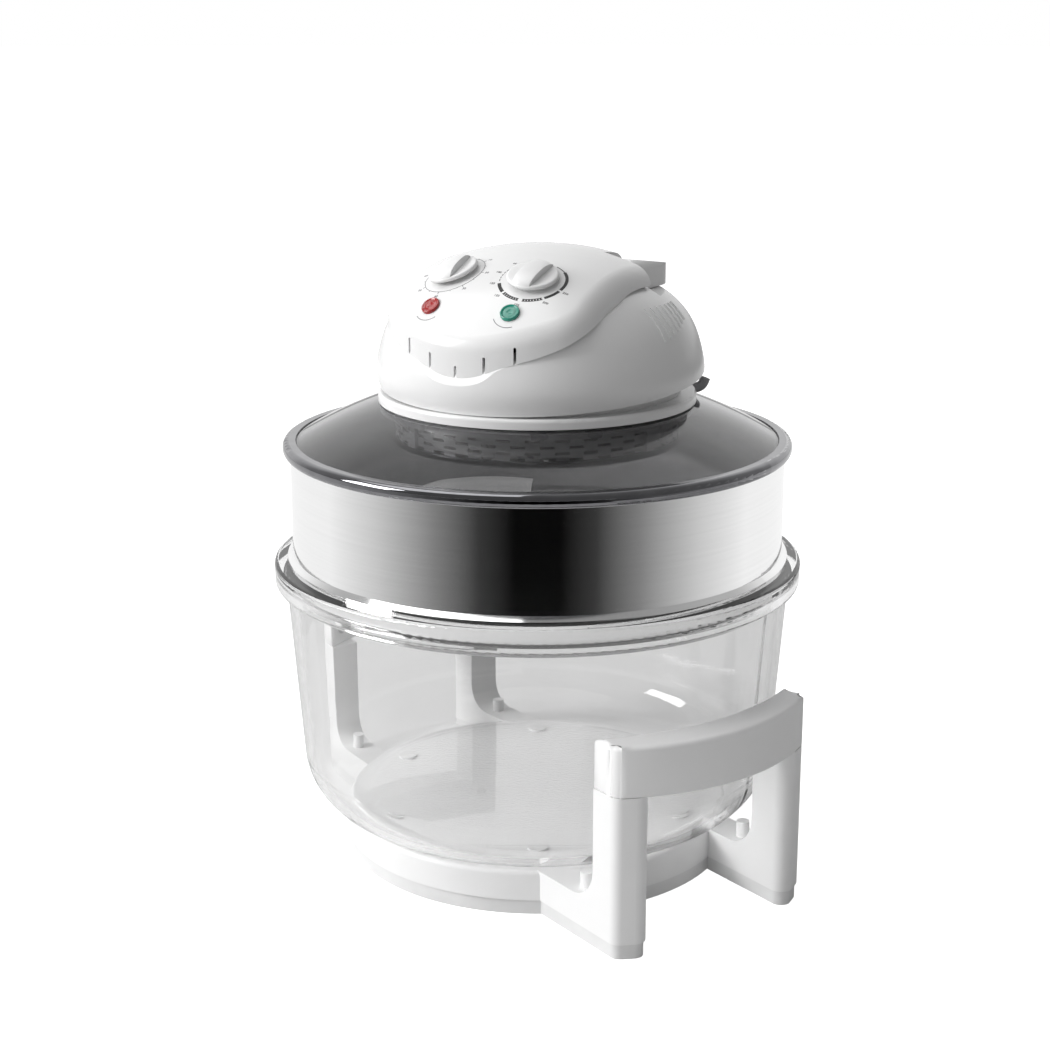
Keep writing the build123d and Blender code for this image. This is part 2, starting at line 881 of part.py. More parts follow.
with BuildPart() as motor_stator:
    with BuildSketch(Plane.XY.offset(bracket_top + bearing_height)):
        with Locations((0, (stator_depth - stator_length) / 4)):
            Rectangle(stator_length, stator_depth)
        Circle(rotor_radius + rotor_gap, mode=Mode.SUBTRACT)
    extrude(amount=stator_stack)
save(motor_stator, "motor_stator")

coil_y = stator_depth / 2 + (stator_depth - stator_length) / 4
with BuildPart() as motor_coil:
    with BuildSketch(Plane.YZ.offset(-coil_length / 2)):
        with Locations((coil_y + coil_radius, bracket_top + bearing_height + stator_stack / 2)):
            Circle(coil_radius)
            Circle(coil_radius / 3, mode=Mode.SUBTRACT)
    extrude(amount=coil_length)
save(motor_coil, "motor_coil")

bearings = []
for bearing_foot in (bracket_bottom, stator_top):
    with BuildPart() as bearing:
        with BuildSketch(Plane.XY.offset(bearing_foot)):
            Circle(bearing_radius)
            Circle(shaft_radius + running_gap, mode=Mode.SUBTRACT)
        extrude(amount=bearing_height)
        if bearing_foot == stator_top:
            with BuildSketch(Plane.XY.offset(stator_top + bearing_height - bracket_sheet)):
                Rectangle(stator_length, 2 * bearing_radius)
                Circle(bearing_radius, mode=Mode.SUBTRACT)
            extrude(amount=bracket_sheet)
            with BuildSketch(Plane.XY.offset(stator_top)):
                with GridLocations(stator_length - bearing_radius, 0, 2, 1):
                    Circle(bearing_radius / 2)
            extrude(amount=bearing_height)
    bearings.append(bearing.part)
save_group(bearings, "motor_bearings")


# Rotor, shaft and the two fans, which turn together

with BuildPart() as motor_shaft:
    with BuildSketch(Plane.XY.offset(shaft_bottom)):
        Circle(shaft_radius)
    extrude(amount=shaft_top - shaft_bottom)
save(motor_shaft, "motor_shaft")

with BuildPart() as motor_rotor:
    with BuildSketch(Plane.XY.offset(bracket_top + bearing_height + rotor_gap)):
        Circle(rotor_radius)
        Circle(shaft_radius, mode=Mode.SUBTRACT)
    extrude(amount=stator_stack - 2 * rotor_gap)
save(motor_rotor, "motor_rotor")


def make_fan(bottom, height, radius, blades, disc_above):
    """Fan with a hub, a thin disc and upright blades."""
    with BuildPart() as fan:
        disc_height = bottom + height - fan_sheet if disc_above else bottom
        with BuildSketch(Plane.XY.offset(disc_height)):
            Circle(radius * 0.72)
        extrude(amount=fan_sheet)
        with BuildSketch(Plane.XY.offset(bottom)):
            Circle(fan_hub_radius)
            with PolarLocations(0, blades):
                with Locations((fan_hub_radius / 2, 0)):
                    Rectangle(radius - fan_hub_radius / 2, fan_sheet, align=(Align.MIN, Align.MIN))
        extrude(amount=height)
        with BuildSketch(Plane.XY.offset(bottom)):
            Circle(shaft_radius)
        extrude(amount=height, mode=Mode.SUBTRACT)
    return fan


hot_fan = make_fan(hot_fan_bottom, hot_fan_height, hot_fan_radius, hot_fan_blades, True)
save(hot_fan, "hot_fan")

cold_fan_bottom = deck_top + fan_deck_gap
cold_fan = make_fan(cold_fan_bottom, cold_fan_height, cold_fan_radius, cold_fan_blades, False)
save(cold_fan, "cold_fan")

with BuildPart() as fan_nut:
    with BuildSketch(Plane.XY.offset(hot_fan_bottom - nut_height)):
        RegularPolygon(nut_radius, 6)
        Circle(shaft_radius, mode=Mode.SUBTRACT)
    extrude(amount=nut_height)
save(fan_nut, "fan_nut")


# Housing shell: a dome with a tilted foot, cut along the seam that the cover sits on

foot_tilt = math.radians(housing_tilt)
foot_plane = Plane(
    origin=(0, -collar_radius, collar_top),
    x_dir=(1, 0, 0),
    z_dir=(0, -math.sin(foot_tilt), math.cos(foot_tilt)),
)
seam_top = seam_outline[-1][1]
panel_top = 2 * neck_top


def dome(grow):
    """Solid dome of the housing, grown outward by a margin."""
    with BuildPart(Plane.XY) as solid:
        with BuildSketch(Plane.XZ):
            with BuildLine():
                Polyline((0, dome_top + grow), (0, dome_foot[1]), (dome_foot[0] + grow, dome_foot[1]))
                points = [(dome_foot[0] + grow, dome_foot[1])]
                for reach, height in dome_outline:
                    lift = grow * max(0.0, 1 - reach / dome_outline[1][0])
                    points.append((reach + grow, height + lift))
                points.append((0, dome_top + grow))
                Spline(*points, tangents=((0.1, 1), (-1, 0)))
            make_face()
        revolve(axis=Axis.Z)
    return solid.part.moved(Location((0, housing_shift, 0)))


def seam_block(drop):
    """Block that fills everything above the seam, lowered by a margin."""
    with BuildPart() as block:
        with BuildSketch(Plane.YZ):
            with BuildLine():
                points = [(y, z - drop) for y, z in seam_outline]
                Spline(*points, tangents=((1, 1.1), (1, 0)))
                Polyline(
                    points[-1],
                    (seam_rear, seam_top - drop),
                    (seam_rear, panel_top),
                    (points[0][0], panel_top),
                    points[0],
                )
            make_face()
        extrude(amount=seam_rear, both=True)
    return block.part


def cover_plan(inset):
    """Plan of the cover: a round front, straight sides and a straight back."""
    with BuildSketch(Plane.XY.offset(collar_top)) as plan:
        side = cover_side - inset
        front = math.sqrt(cover_front**2 - cover_side**2)
        with BuildLine():
            ThreePointArc((-side, -front), (0, inset - cover_front), (side, -front))
            Polyline((side, -front), (side, cover_rear - inset), (-side, cover_rear - inset), (-side, -front))
        make_face()
        corners = plan.vertices().group_by(Axis.Y)
        fillet(corners[0], cover_corner - inset)
        fillet(plan.vertices().group_by(Axis.Y)[-1], cover_rear_corner - inset)
    return plan.sketch


def handle_recess(grow):
    """Space at the back of the head where the safety handle lies."""
    inner = handle_half_width - handle_arm - recess_gap - grow
    with BuildPart() as space:
        with BuildSketch(Plane.XY.offset(recess_floor - grow)):
            for side in (-1, 1):
                with Locations((side * inner, handle_pivot_y - handle_end_radius - recess_gap - grow)):
                    align = (Align.MAX if side < 0 else Align.MIN, Align.MIN)
                    Rectangle(seam_rear - inner, seam_rear, align=align)
            with Locations((0, cover_rear)):
                Rectangle(2 * seam_rear, seam_rear, align=(Align.CENTER, Align.MIN))
        extrude(amount=panel_top - recess_floor)
    return space.part


def solid_cover(inset, seam_drop):
    """Cover as a solid block, drawn in by a margin on its walls and its top."""
    with BuildPart() as block:
        add(cover_plan(inset))
        extrude(amount=panel_top - collar_top)
        with BuildSketch(Plane.YZ):
            with BuildLine():
                points = [(y, z - inset) for y, z in cover_outline]
                Spline(*points)
                Polyline(
                    points[-1],
                    (points[-1][0], crown_axis),
                    (points[0][0], crown_axis),
                    points[0],
                )
            make_face()
        revolve(axis=Axis((0, 0, crown_axis), (0, 1, 0)), mode=Mode.INTERSECT)
        fillet(block.faces().sort_by(Axis.Z)[-1].edges(), cover_shoulder - inset)
        add(seam_block(seam_drop), mode=Mode.INTERSECT)
    return block.part


def dial_plane(side):
    return panel_plane(side * dial_x, dial_y, dial_z, dial_tilt, dial_splay)


def lens_plane(side):
    return panel_plane(side * lens_x, lens_y, lens_z, lens_tilt, dial_splay)


def cover_screw_plane(side):
    """Plane of a cover screw's head, which faces down from under the housing's ledge."""
    head_top = seam_top - housing_wall - screw_head_height
    return Plane(origin=(side * cover_post_x, cover_post_y, head_top), z_dir=(0, 0, -1))


plunger_x = handle_half_width - handle_arm / 2
with BuildPart() as ribs:
    for side in (-1, 1):
        for rib in range(rib_count):
            foot = rib_foot + rib * rib_foot_rise
            with BuildSketch(Plane.XY.offset(foot)):
                with Locations((side * dome_foot[0], rib_first + rib * rib_pitch)):
                    Rectangle(dome_foot[0], rib_width)
            extrude(amount=rib_top - foot)
    add(dome(rib_height), mode=Mode.INTERSECT)
    add(dome(-housing_wall / 2), mode=Mode.SUBTRACT)

with BuildPart() as housing_hollow:
    add(dome(-housing_wall))
    with BuildSketch(foot_plane.offset(housing_wall)):
        Rectangle(4 * collar_radius, 6 * collar_radius)
    extrude(amount=-collar_radius, mode=Mode.SUBTRACT)
    add(seam_block(housing_wall), mode=Mode.SUBTRACT)
    add(handle_recess(housing_wall), mode=Mode.SUBTRACT)

with BuildPart() as housing_opening:
    add(cover_plan(ledge_width))
    extrude(amount=panel_top - collar_top)
    add(handle_recess(ledge_width), mode=Mode.SUBTRACT)

with BuildPart() as housing_body:
    add(dome(0))
    with BuildSketch(foot_plane):
        Rectangle(4 * collar_radius, 6 * collar_radius)
    extrude(amount=-collar_radius, mode=Mode.SUBTRACT)
    add(ribs.part)
    add(seam_block(0), mode=Mode.SUBTRACT)
    add(handle_recess(0), mode=Mode.SUBTRACT)
    add(housing_hollow.part, mode=Mode.SUBTRACT)
    add(housing_opening.part, mode=Mode.SUBTRACT)
    with BuildSketch(Plane.XY.offset(collar_bottom)):
        Circle(neck_radius)
    extrude(amount=neck_top - collar_bottom, mode=Mode.SUBTRACT)
    for vent in range(vent_count):
        angle = 90 + (vent - (vent_count - 1) / 2) * vent_step_angle
        with BuildSketch(upright(angle, neck_radius)):
            with Locations((0, vent_bottom)):
                Rectangle(vent_width, vent_height, align=(Align.CENTER, Align.MIN))
    extrude(amount=neck_radius / 2, mode=Mode.SUBTRACT)
    with BuildSketch(Plane.XY.offset(recess_floor)):
        with Locations((plunger_x, plunger_y)):
            Circle(plunger_radius + running_gap)
    extrude(amount=-2 * housing_wall, mode=Mode.SUBTRACT)
    for side in (-1, 1):
        with BuildSketch(cover_screw_plane(side)):
            Circle(screw_radius)
        extrude(amount=-cover_screw_length, mode=Mode.SUBTRACT)
save(housing_body, "housing_body")


# Top cover with its slots, lenses and dial bosses

with BuildPart() as cover_hollow:
    add(solid_cover(cover_wall, 2 * cover_shoulder))
    add(handle_recess(cover_wall), mode=Mode.SUBTRACT)
    for side in (-1, 1):
        with BuildSketch(dial_plane(side).offset(-cover_wall / 2)):
            Circle(dial_boss_radius)
        extrude(amount=-dial_boss_depth, mode=Mode.SUBTRACT)
        with BuildSketch(Plane.XY.offset(seam_top)):
            with Locations((side * cover_post_x, cover_post_y)):
                Circle(cover_post_radius)
        extrude(amount=seam_top, mode=Mode.SUBTRACT)

with BuildPart() as top_cover:
    add(solid_cover(0, 0))
    add(handle_recess(0), mode=Mode.SUBTRACT)
    add(cover_hollow.part, mode=Mode.SUBTRACT)
    for slot in range(slot_count):
        step = slot - (slot_count - 1) / 2
        with BuildSketch(upright(270 + step * slot_step_angle, cover_front)):
            with Locations((0, slot_bottom + abs(step) * slot_rise)):
                SlotOverall(slot_height, slot_width, rotation=90)
    extrude(amount=2 * cover_wall, both=True, mode=Mode.SUBTRACT)
    for side in (-1, 1):
        with BuildSketch(lens_plane(side)):
            Circle(lens_radius)
        extrude(amount=3 * cover_wall, both=True, mode=Mode.SUBTRACT)
        with BuildSketch(dial_plane(side)):
            Circle(knob_shaft_radius + 2 * running_gap)
        extrude(amount=2 * dial_boss_depth, both=True, mode=Mode.SUBTRACT)
        with BuildSketch(cover_screw_plane(side)):
            Circle(screw_radius)
        extrude(amount=-cover_screw_length, mode=Mode.SUBTRACT)
    with BuildSketch(Plane.YZ):
        with Locations((handle_pivot_y, handle_pivot_z)):
            Circle(pin_radius)
    extrude(amount=handle_half_width, both=True, mode=Mode.SUBTRACT)
save(top_cover, "top_cover")

cover_screws = [screw_at(cover_screw_plane(side), cover_screw_length) for side in (-1, 1)]
save_group(cover_screws, "cover_screws")

for side, lens_name in ((-1, "red_lens"), (1, "green_lens")):
    with BuildPart() as lens:
        with BuildSketch(lens_plane(side)):
            Circle(lens_radius)
        extrude(amount=lens_dome)
        fillet(lens.faces().sort_by(Axis.Z)[-1].edges(), lens_dome - 0.2)
        with BuildSketch(lens_plane(side)):
            Circle(lens_radius)
        extrude(amount=-lens_depth)
    save(lens, lens_name)


# Timer and thermostat with their shafts and knobs

unit_face = cover_wall / 2 + dial_boss_depth

with BuildPart() as timer_unit:
    with BuildSketch(dial_plane(-1).offset(-unit_face)):
        Circle(control_radius)
        Circle(knob_shaft_radius + running_gap, mode=Mode.SUBTRACT)
    extrude(amount=-control_depth)
save(timer_unit, "timer_unit")

with BuildPart() as thermostat_unit:
    with BuildSketch(dial_plane(1).offset(-unit_face)):
        RectangleRounded(thermostat_width, thermostat_length, bush_radius)
        Circle(knob_shaft_radius + running_gap, mode=Mode.SUBTRACT)
    extrude(amount=-thermostat_depth)
save(thermostat_unit, "thermostat_unit")

for side, knob_name in ((-1, "timer"), (1, "temperature")):
    face = dial_plane(side)
    with BuildPart() as shaft:
        with BuildSketch(face.offset(knob_gap + knob_disc)):
            Circle(knob_shaft_radius)
        extrude(amount=-knob_gap - knob_disc - unit_face - knob_shaft_reach)
    save(shaft, f"{knob_name}_shaft")
    with BuildPart() as knob:
        with BuildSketch(face.offset(knob_gap)):
            Circle(knob_radius)
        extrude(amount=knob_disc)
        fillet(knob.edges().filter_by(GeomType.CIRCLE).sort_by(Axis.Z)[-1], knob_disc / 3)
        with BuildSketch(face.offset(knob_gap)):
            SlotOverall(2 * (knob_radius - knob_ridge_inset), knob_ridge_width, rotation=90)
        extrude(amount=knob_disc + knob_ridge_height, taper=knob_ridge_taper)
        with BuildSketch(face.offset(knob_gap)):
            Circle(knob_shaft_radius)
        extrude(amount=knob_disc, mode=Mode.SUBTRACT)
    save(knob, f"{knob_name}_knob")


# Safety handle with its pins, and the switch that it presses

pivot_front = handle_pivot_y - handle_end_radius
handle_foot = handle_pivot_z - handle_end_radius
with BuildPart() as safety_handle:
    with BuildSketch(Plane.XY.offset(handle_foot)) as plan:
        with Locations((0, pivot_front)):
            Rectangle(
                2 * handle_half_width, handle_rear - pivot_front, align=(Align.CENTER, Align.MIN)
            )
        fillet(plan.vertices().group_by(Axis.Y)[-1], handle_corner)
        with BuildSketch(mode=Mode.PRIVATE) as gap:
            with Locations((0, pivot_front - handle_bar)):
                Rectangle(
                    2 * (handle_half_width - handle_arm),
                    handle_rear - pivot_front,
                    align=(Align.CENTER, Align.MIN),
                )
            fillet(gap.vertices().group_by(Axis.Y)[-1], handle_inner_corner)
        add(gap.sketch, mode=Mode.SUBTRACT)
    extrude(amount=2 * handle_end_radius)
    with BuildSketch(Plane.YZ) as side_view:
        with BuildLine():
            RadiusArc(
                (handle_pivot_y, handle_foot),
                (handle_pivot_y, handle_foot + 2 * handle_end_radius),
                handle_end_radius,
            )
            Polyline(
                (handle_pivot_y, handle_foot + 2 * handle_end_radius),
                (handle_rear, handle_foot + 2 * handle_end_radius - handle_rear_drop),
                (handle_rear, handle_foot),
                (handle_pivot_y, handle_foot),
            )
        make_face()
        rear = side_view.vertices().group_by(Axis.X)[-1]
        fillet(rear, handle_edge_round)
    extrude(amount=handle_half_width, both=True, mode=Mode.INTERSECT)
    with BuildSketch(Plane.XZ) as front_view:
        with Locations((0, handle_foot)):
            Rectangle(
                2 * handle_half_width, 2 * handle_end_radius, align=(Align.CENTER, Align.MIN)
            )
        fillet(front_view.vertices().group_by(Axis.Y)[-1], handle_shoulder)
    extrude(amount=handle_rear, both=True, mode=Mode.INTERSECT)
    with BuildSketch(Plane.YZ):
        with Locations((handle_pivot_y, handle_pivot_z)):
            Circle(pin_radius + running_gap)
    extrude(amount=handle_half_width - handle_arm + pin_length, both=True, mode=Mode.SUBTRACT)
save(safety_handle, "safety_handle")

pins = []
for side in (-1, 1):
    pin_inner = handle_half_width - handle_arm - pin_cover_grip
    with BuildPart() as pin:
        with BuildSketch(Plane.YZ.offset(side * pin_inner)):
            with Locations((handle_pivot_y, handle_pivot_z)):
                Circle(pin_radius)
        extrude(amount=side * pin_length)
    pins.append(pin.part)
save_group(pins, "handle_pins")

with BuildPart() as safety_switch:
    with BuildSketch(Plane.XY.offset(recess_floor - housing_wall)):
        with Locations((plunger_x, plunger_y)):
            Rectangle(switch_width, switch_length)
    extrude(amount=-switch_height)
    with BuildSketch(Plane.XY.offset(recess_floor - housing_wall)):
        with Locations((plunger_x, plunger_y)):
            Circle(plunger_radius + running_gap)
    extrude(amount=-plunger_depth, mode=Mode.SUBTRACT)
save(safety_switch, "safety_switch")

with BuildPart() as switch_plunger:
    with BuildSketch(Plane.XY.offset(handle_foot - plunger_gap)):
        with Locations((plunger_x, plunger_y)):
            Circle(plunger_radius)
    extrude(amount=-plunger_depth - housing_wall)
save(switch_plunger, "switch_plunger")


# Electrical parts on the deck

with BuildPart() as terminal_block:
    with BuildSketch(Plane.XY.offset(deck_top)):
        with Locations((0, terminal_place)):
            Rectangle(terminal_length, terminal_depth)
    extrude(amount=terminal_height)
    with BuildSketch(Plane.XY.offset(deck_top + terminal_height)):
        with Locations((0, terminal_place)):
            with GridLocations(terminal_length / terminal_ways, 0, terminal_ways, 1):
                Circle(screw_radius)
    extrude(amount=-terminal_height / 2, mode=Mode.SUBTRACT)
save(terminal_block, "terminal_block")

with BuildPart() as thermal_cutout:
    with BuildSketch(Plane.XY.offset(reflector_top + reflector_sheet)):
        with Locations((cutout_place, 0)):
            Circle(cutout_radius)
    extrude(amount=cutout_height)
save(thermal_cutout, "thermal_cutout")
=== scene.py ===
# %% [markdown]
# A halogen convection oven: a glass bowl in a white stand, a polished steel ring that makes the
# bowl taller, a smoke tinted lid, and a white head with two knobs that is fixed through the lid.
# The solid model is loaded first and is never changed. This lesson gives every piece of it a
# finish, adds the thin prints and trims that only matter to the eye, and lights it all softly.

# %% Load the solid model
import json
import math

import bmesh
import bpy
from mathutils import Matrix, Vector
from mathutils.bvhtree import BVHTree


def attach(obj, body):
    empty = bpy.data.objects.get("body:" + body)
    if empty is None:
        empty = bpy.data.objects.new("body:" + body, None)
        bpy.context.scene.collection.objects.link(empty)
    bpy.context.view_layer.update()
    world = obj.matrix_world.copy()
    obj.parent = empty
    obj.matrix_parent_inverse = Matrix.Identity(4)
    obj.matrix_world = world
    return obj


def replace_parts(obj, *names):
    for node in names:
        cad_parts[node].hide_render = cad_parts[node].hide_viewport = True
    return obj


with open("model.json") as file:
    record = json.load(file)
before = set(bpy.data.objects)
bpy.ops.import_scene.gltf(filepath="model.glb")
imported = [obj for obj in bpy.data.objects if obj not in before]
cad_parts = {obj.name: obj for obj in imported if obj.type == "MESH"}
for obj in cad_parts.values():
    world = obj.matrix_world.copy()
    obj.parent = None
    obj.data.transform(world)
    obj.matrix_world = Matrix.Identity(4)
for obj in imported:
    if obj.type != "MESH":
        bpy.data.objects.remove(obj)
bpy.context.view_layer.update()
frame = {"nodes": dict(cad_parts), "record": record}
MM = 0.001

# %% [markdown]
# The camera stands where the photographer stood: a little over a metre away, thirty degrees to
# the right of the head's front, looking down by fifteen degrees. The picture was framed slightly
# off the middle, so the lens has a small sideways shift.

# %% Camera
VIEW_TURN = math.radians(30.0)
VIEW_DOWN = 0.263
VIEW_REACH = 1.1788
VIEW_HEIGHT = 0.528

camera_data = bpy.data.cameras.new("camera")
camera = bpy.data.objects.new("camera", camera_data)
bpy.context.scene.collection.objects.link(camera)
bpy.context.scene.camera = camera
camera.location = (VIEW_REACH * math.sin(VIEW_TURN), -VIEW_REACH * math.cos(VIEW_TURN), VIEW_HEIGHT)
camera.rotation_euler = (math.pi / 2 - VIEW_DOWN, 0, VIEW_TURN)
camera_data.lens = 65.39
camera_data.sensor_width = 36.0
camera_data.shift_x = -0.0118
print("camera at", [round(v, 3) for v in camera.location])

# %% [markdown]
# A studio for glossy things is mostly about what they mirror. Soft boxes give the white head its
# shading, the floor and the surroundings are white, and a low card stands all round the oven. Only
# mirrors see the card. It is black in front and turns white towards the back, and it draws the dark
# band down the middle of the steel ring.

# %% Small helpers for node trees
scene = bpy.context.scene
scene.view_settings.view_transform = "Standard"


def add_node(tree, kind, **values):
    node = tree.nodes.new(kind)
    for key, value in values.items():
        setattr(node, key, value)
    return node


def ray_switch(tree, names):
    """One if a ray is any of the named kinds, otherwise nought."""
    path = add_node(tree, "ShaderNodeLightPath")
    total = path.outputs[names[0]]
    for name in names[1:]:
        larger = add_node(tree, "ShaderNodeMath", operation="MAXIMUM")
        tree.links.new(total, larger.inputs[0])
        tree.links.new(path.outputs[name], larger.inputs[1])
        total = larger.outputs[0]
    return total


def grey_stops(ramp, stops):
    """Give a colour ramp its stops, each one a place and a grey."""
    points = ramp.color_ramp.elements
    for point, (place, grey) in ((points[0], stops[0]), (points[-1], stops[-1])):
        point.position = place
        point.color = (grey, grey, grey, 1)
    for place, grey in stops[1:-1]:
        points.new(place).color = (grey, grey, grey, 1)


# %% World
# Matt surfaces get more light from the left front than from the right back. FILL_AXIS points from
# the bright side to the dim one: its first number is toward the camera, the second to its right.
FILL_LEFT = 0.68
FILL_RIGHT = 0.06
FILL_AXIS = (-0.40, 0.917, 0.0)
STUDIO_STOPS = ((0.22, 0.20), (0.5, 0.28), (0.72, 0.45), (0.9, 1.0))

world = bpy.data.worlds.new("studio")
scene.world = world
world.use_nodes = True
world_tree = world.node_tree
background = world_tree.nodes["Background"]

direction = add_node(world_tree, "ShaderNodeTexCoord")
turned = add_node(world_tree, "ShaderNodeMapping", vector_type="POINT")
turned.inputs["Rotation"].default_value = (0, 0, math.pi / 2 - VIEW_TURN)
world_axis = add_node(world_tree, "ShaderNodeSeparateXYZ")
away = add_node(world_tree, "ShaderNodeMapRange")
away.inputs["From Min"].default_value = 1.0
away.inputs["From Max"].default_value = -1.0
studio_ramp = add_node(world_tree, "ShaderNodeValToRGB")
studio_ramp.color_ramp.interpolation = "EASE"
grey_stops(studio_ramp, STUDIO_STOPS)
world_tree.links.new(direction.outputs["Generated"], turned.inputs["Vector"])
world_tree.links.new(turned.outputs["Vector"], world_axis.inputs["Vector"])
world_tree.links.new(world_axis.outputs["X"], away.inputs["Value"])
world_tree.links.new(away.outputs[0], studio_ramp.inputs["Fac"])

side_fill = add_node(world_tree, "ShaderNodeMapRange")
side_fill.inputs["From Min"].default_value = -1.0
side_fill.inputs["To Min"].default_value = FILL_LEFT
side_fill.inputs["To Max"].default_value = FILL_RIGHT
fill_axis = add_node(world_tree, "ShaderNodeVectorMath", operation="DOT_PRODUCT")
fill_axis.inputs[1].default_value = FILL_AXIS
world_tree.links.new(turned.outputs["Vector"], fill_axis.inputs[0])
world_tree.links.new(fill_axis.outputs["Value"], side_fill.inputs["Value"])

mirror_mix = add_node(world_tree, "ShaderNodeMix", data_type="RGBA")
world_tree.links.new(side_fill.outputs[0], mirror_mix.inputs["A"])
mirror_rays = ray_switch(world_tree, ("Is Glossy Ray", "Is Transmission Ray"))
world_tree.links.new(mirror_rays, mirror_mix.inputs["Factor"])
world_tree.links.new(studio_ramp.outputs["Color"], mirror_mix.inputs["B"])
seen_mix = add_node(world_tree, "ShaderNodeMix", data_type="RGBA")
seen_mix.inputs["B"].default_value = (1, 1, 1, 1)
world_tree.links.new(ray_switch(world_tree, ("Is Camera Ray",)), seen_mix.inputs["Factor"])
world_tree.links.new(mirror_mix.outputs["Result"], seen_mix.inputs["A"])
world_tree.links.new(seen_mix.outputs["Result"], background.inputs["Color"])
print("world is white to the camera and shaded to mirrors and glass")

# %% Floor
FLOOR_RADIUS = 30.0
FLOOR_GREY = 0.62
FLOOR_GLOW_SEEN = 1.0
FLOOR_GLOW_MIRRORED = 0.22

floor_mesh = bpy.data.meshes.new("floor")
floor_form = bmesh.new()
bmesh.ops.create_circle(floor_form, cap_ends=True, segments=96, radius=FLOOR_RADIUS)
floor_form.to_mesh(floor_mesh)
floor_form.free()
floor = bpy.data.objects.new("floor", floor_mesh)
scene.collection.objects.link(floor)

floor_paint = bpy.data.materials.new("floor_paint")
floor_paint.use_nodes = True
paint_tree = floor_paint.node_tree
paint_tree.nodes.remove(paint_tree.nodes["Principled BSDF"])
lit = add_node(paint_tree, "ShaderNodeBsdfDiffuse")
lit.inputs["Color"].default_value = (FLOOR_GREY, FLOOR_GREY, FLOOR_GREY, 1)
glow = add_node(paint_tree, "ShaderNodeEmission")
seen_power = add_node(paint_tree, "ShaderNodeMath", operation="MULTIPLY")
seen_power.inputs[1].default_value = FLOOR_GLOW_SEEN
mirror_power = add_node(paint_tree, "ShaderNodeMath", operation="MULTIPLY")
mirror_power.inputs[1].default_value = FLOOR_GLOW_MIRRORED
glow_power = add_node(paint_tree, "ShaderNodeMath", operation="ADD")
paint_tree.links.new(ray_switch(paint_tree, ("Is Camera Ray",)), seen_power.inputs[0])
paint_tree.links.new(ray_switch(paint_tree, ("Is Glossy Ray", "Is Transmission Ray")), mirror_power.inputs[0])
paint_tree.links.new(seen_power.outputs[0], glow_power.inputs[0])
paint_tree.links.new(mirror_power.outputs[0], glow_power.inputs[1])
paint_tree.links.new(glow_power.outputs[0], glow.inputs["Strength"])
both = add_node(paint_tree, "ShaderNodeAddShader")
paint_tree.links.new(lit.outputs[0], both.inputs[0])
paint_tree.links.new(glow.outputs[0], both.inputs[1])
paint_tree.links.new(both.outputs[0], paint_tree.nodes["Material Output"].inputs["Surface"])
floor_mesh.materials.append(floor_paint)
print("floor is in place")

# %% Soft boxes
def soft_box(name, place, aim, size, power):
    """A rectangular lamp of some watts at a place, turned to what it lights."""
    data = bpy.data.lights.new(name, "AREA")
    data.shape = "RECTANGLE"
    data.size, data.size_y = size
    data.energy = power
    lamp = bpy.data.objects.new(name, data)
    lamp.location = place
    lamp.rotation_euler = (Vector(aim) - Vector(place)).to_track_quat("-Z", "Y").to_euler()
    scene.collection.objects.link(lamp)
    return lamp


OVEN_MIDDLE = (0, 0, 0.22)
soft_box("key_box", place=(-1.55, -1.35, 1.15), aim=OVEN_MIDDLE, size=(1.0, 1.0), power=37.0)
soft_box("top_box", place=(-0.7, -0.3, 2.1), aim=OVEN_MIDDLE, size=(1.4, 1.4), power=12.0)
print("two soft boxes")

# %% Card that only mirrors see
CARD_REACH = 0.62
CARD_HEIGHT = 0.245
CARD_HALF_ANGLE = math.pi
CARD_STEPS = 96
CARD_STOPS = ((0.051, 0.002), (0.1275, 0.04), (0.226, 0.22), (0.383, 0.62), (0.543, 0.94), (1.0, 1.0))

card_form = bmesh.new()
start = Vector((CARD_REACH, 0, 0))
foot = card_form.verts.new(start)
head = card_form.verts.new(start + Vector((0, 0, CARD_HEIGHT)))
edge = card_form.edges.new((foot, head))
card_start = Matrix.Rotation(VIEW_TURN - math.pi / 2 - CARD_HALF_ANGLE, 3, "Z")
bmesh.ops.rotate(card_form, verts=card_form.verts, matrix=card_start)
bmesh.ops.spin(
    card_form, geom=[foot, head, edge], cent=(0, 0, 0), axis=(0, 0, 1),
    angle=2 * CARD_HALF_ANGLE, steps=CARD_STEPS,
)
card_mesh = bpy.data.meshes.new("card")
card_form.to_mesh(card_mesh)
card_form.free()
card = bpy.data.objects.new("card", card_mesh)
scene.collection.objects.link(card)
card.visible_camera = False
card.visible_diffuse = False
card.visible_shadow = False
card.visible_transmission = False

card_paint = bpy.data.materials.new("card_paint")
card_paint.use_nodes = True
card_tree = card_paint.node_tree
card_tree.nodes.remove(card_tree.nodes["Principled BSDF"])
card_place = add_node(card_tree, "ShaderNodeTexCoord")
card_turn = add_node(card_tree, "ShaderNodeMapping", vector_type="POINT")
card_turn.inputs["Rotation"].default_value = (0, 0, math.pi / 2 - VIEW_TURN)
card_axis = add_node(card_tree, "ShaderNodeSeparateXYZ")
card_angle = add_node(card_tree, "ShaderNodeMath", operation="ARCTAN2")
card_size = add_node(card_tree, "ShaderNodeMath", operation="ABSOLUTE")
card_share = add_node(card_tree, "ShaderNodeMath", operation="DIVIDE")
card_share.inputs[1].default_value = CARD_HALF_ANGLE
card_ramp = add_node(card_tree, "ShaderNodeValToRGB")
card_glow = add_node(card_tree, "ShaderNodeEmission")
card_tree.links.new(card_place.outputs["Object"], card_turn.inputs["Vector"])
card_tree.links.new(card_turn.outputs["Vector"], card_axis.inputs["Vector"])
card_tree.links.new(card_axis.outputs["Y"], card_angle.inputs[0])
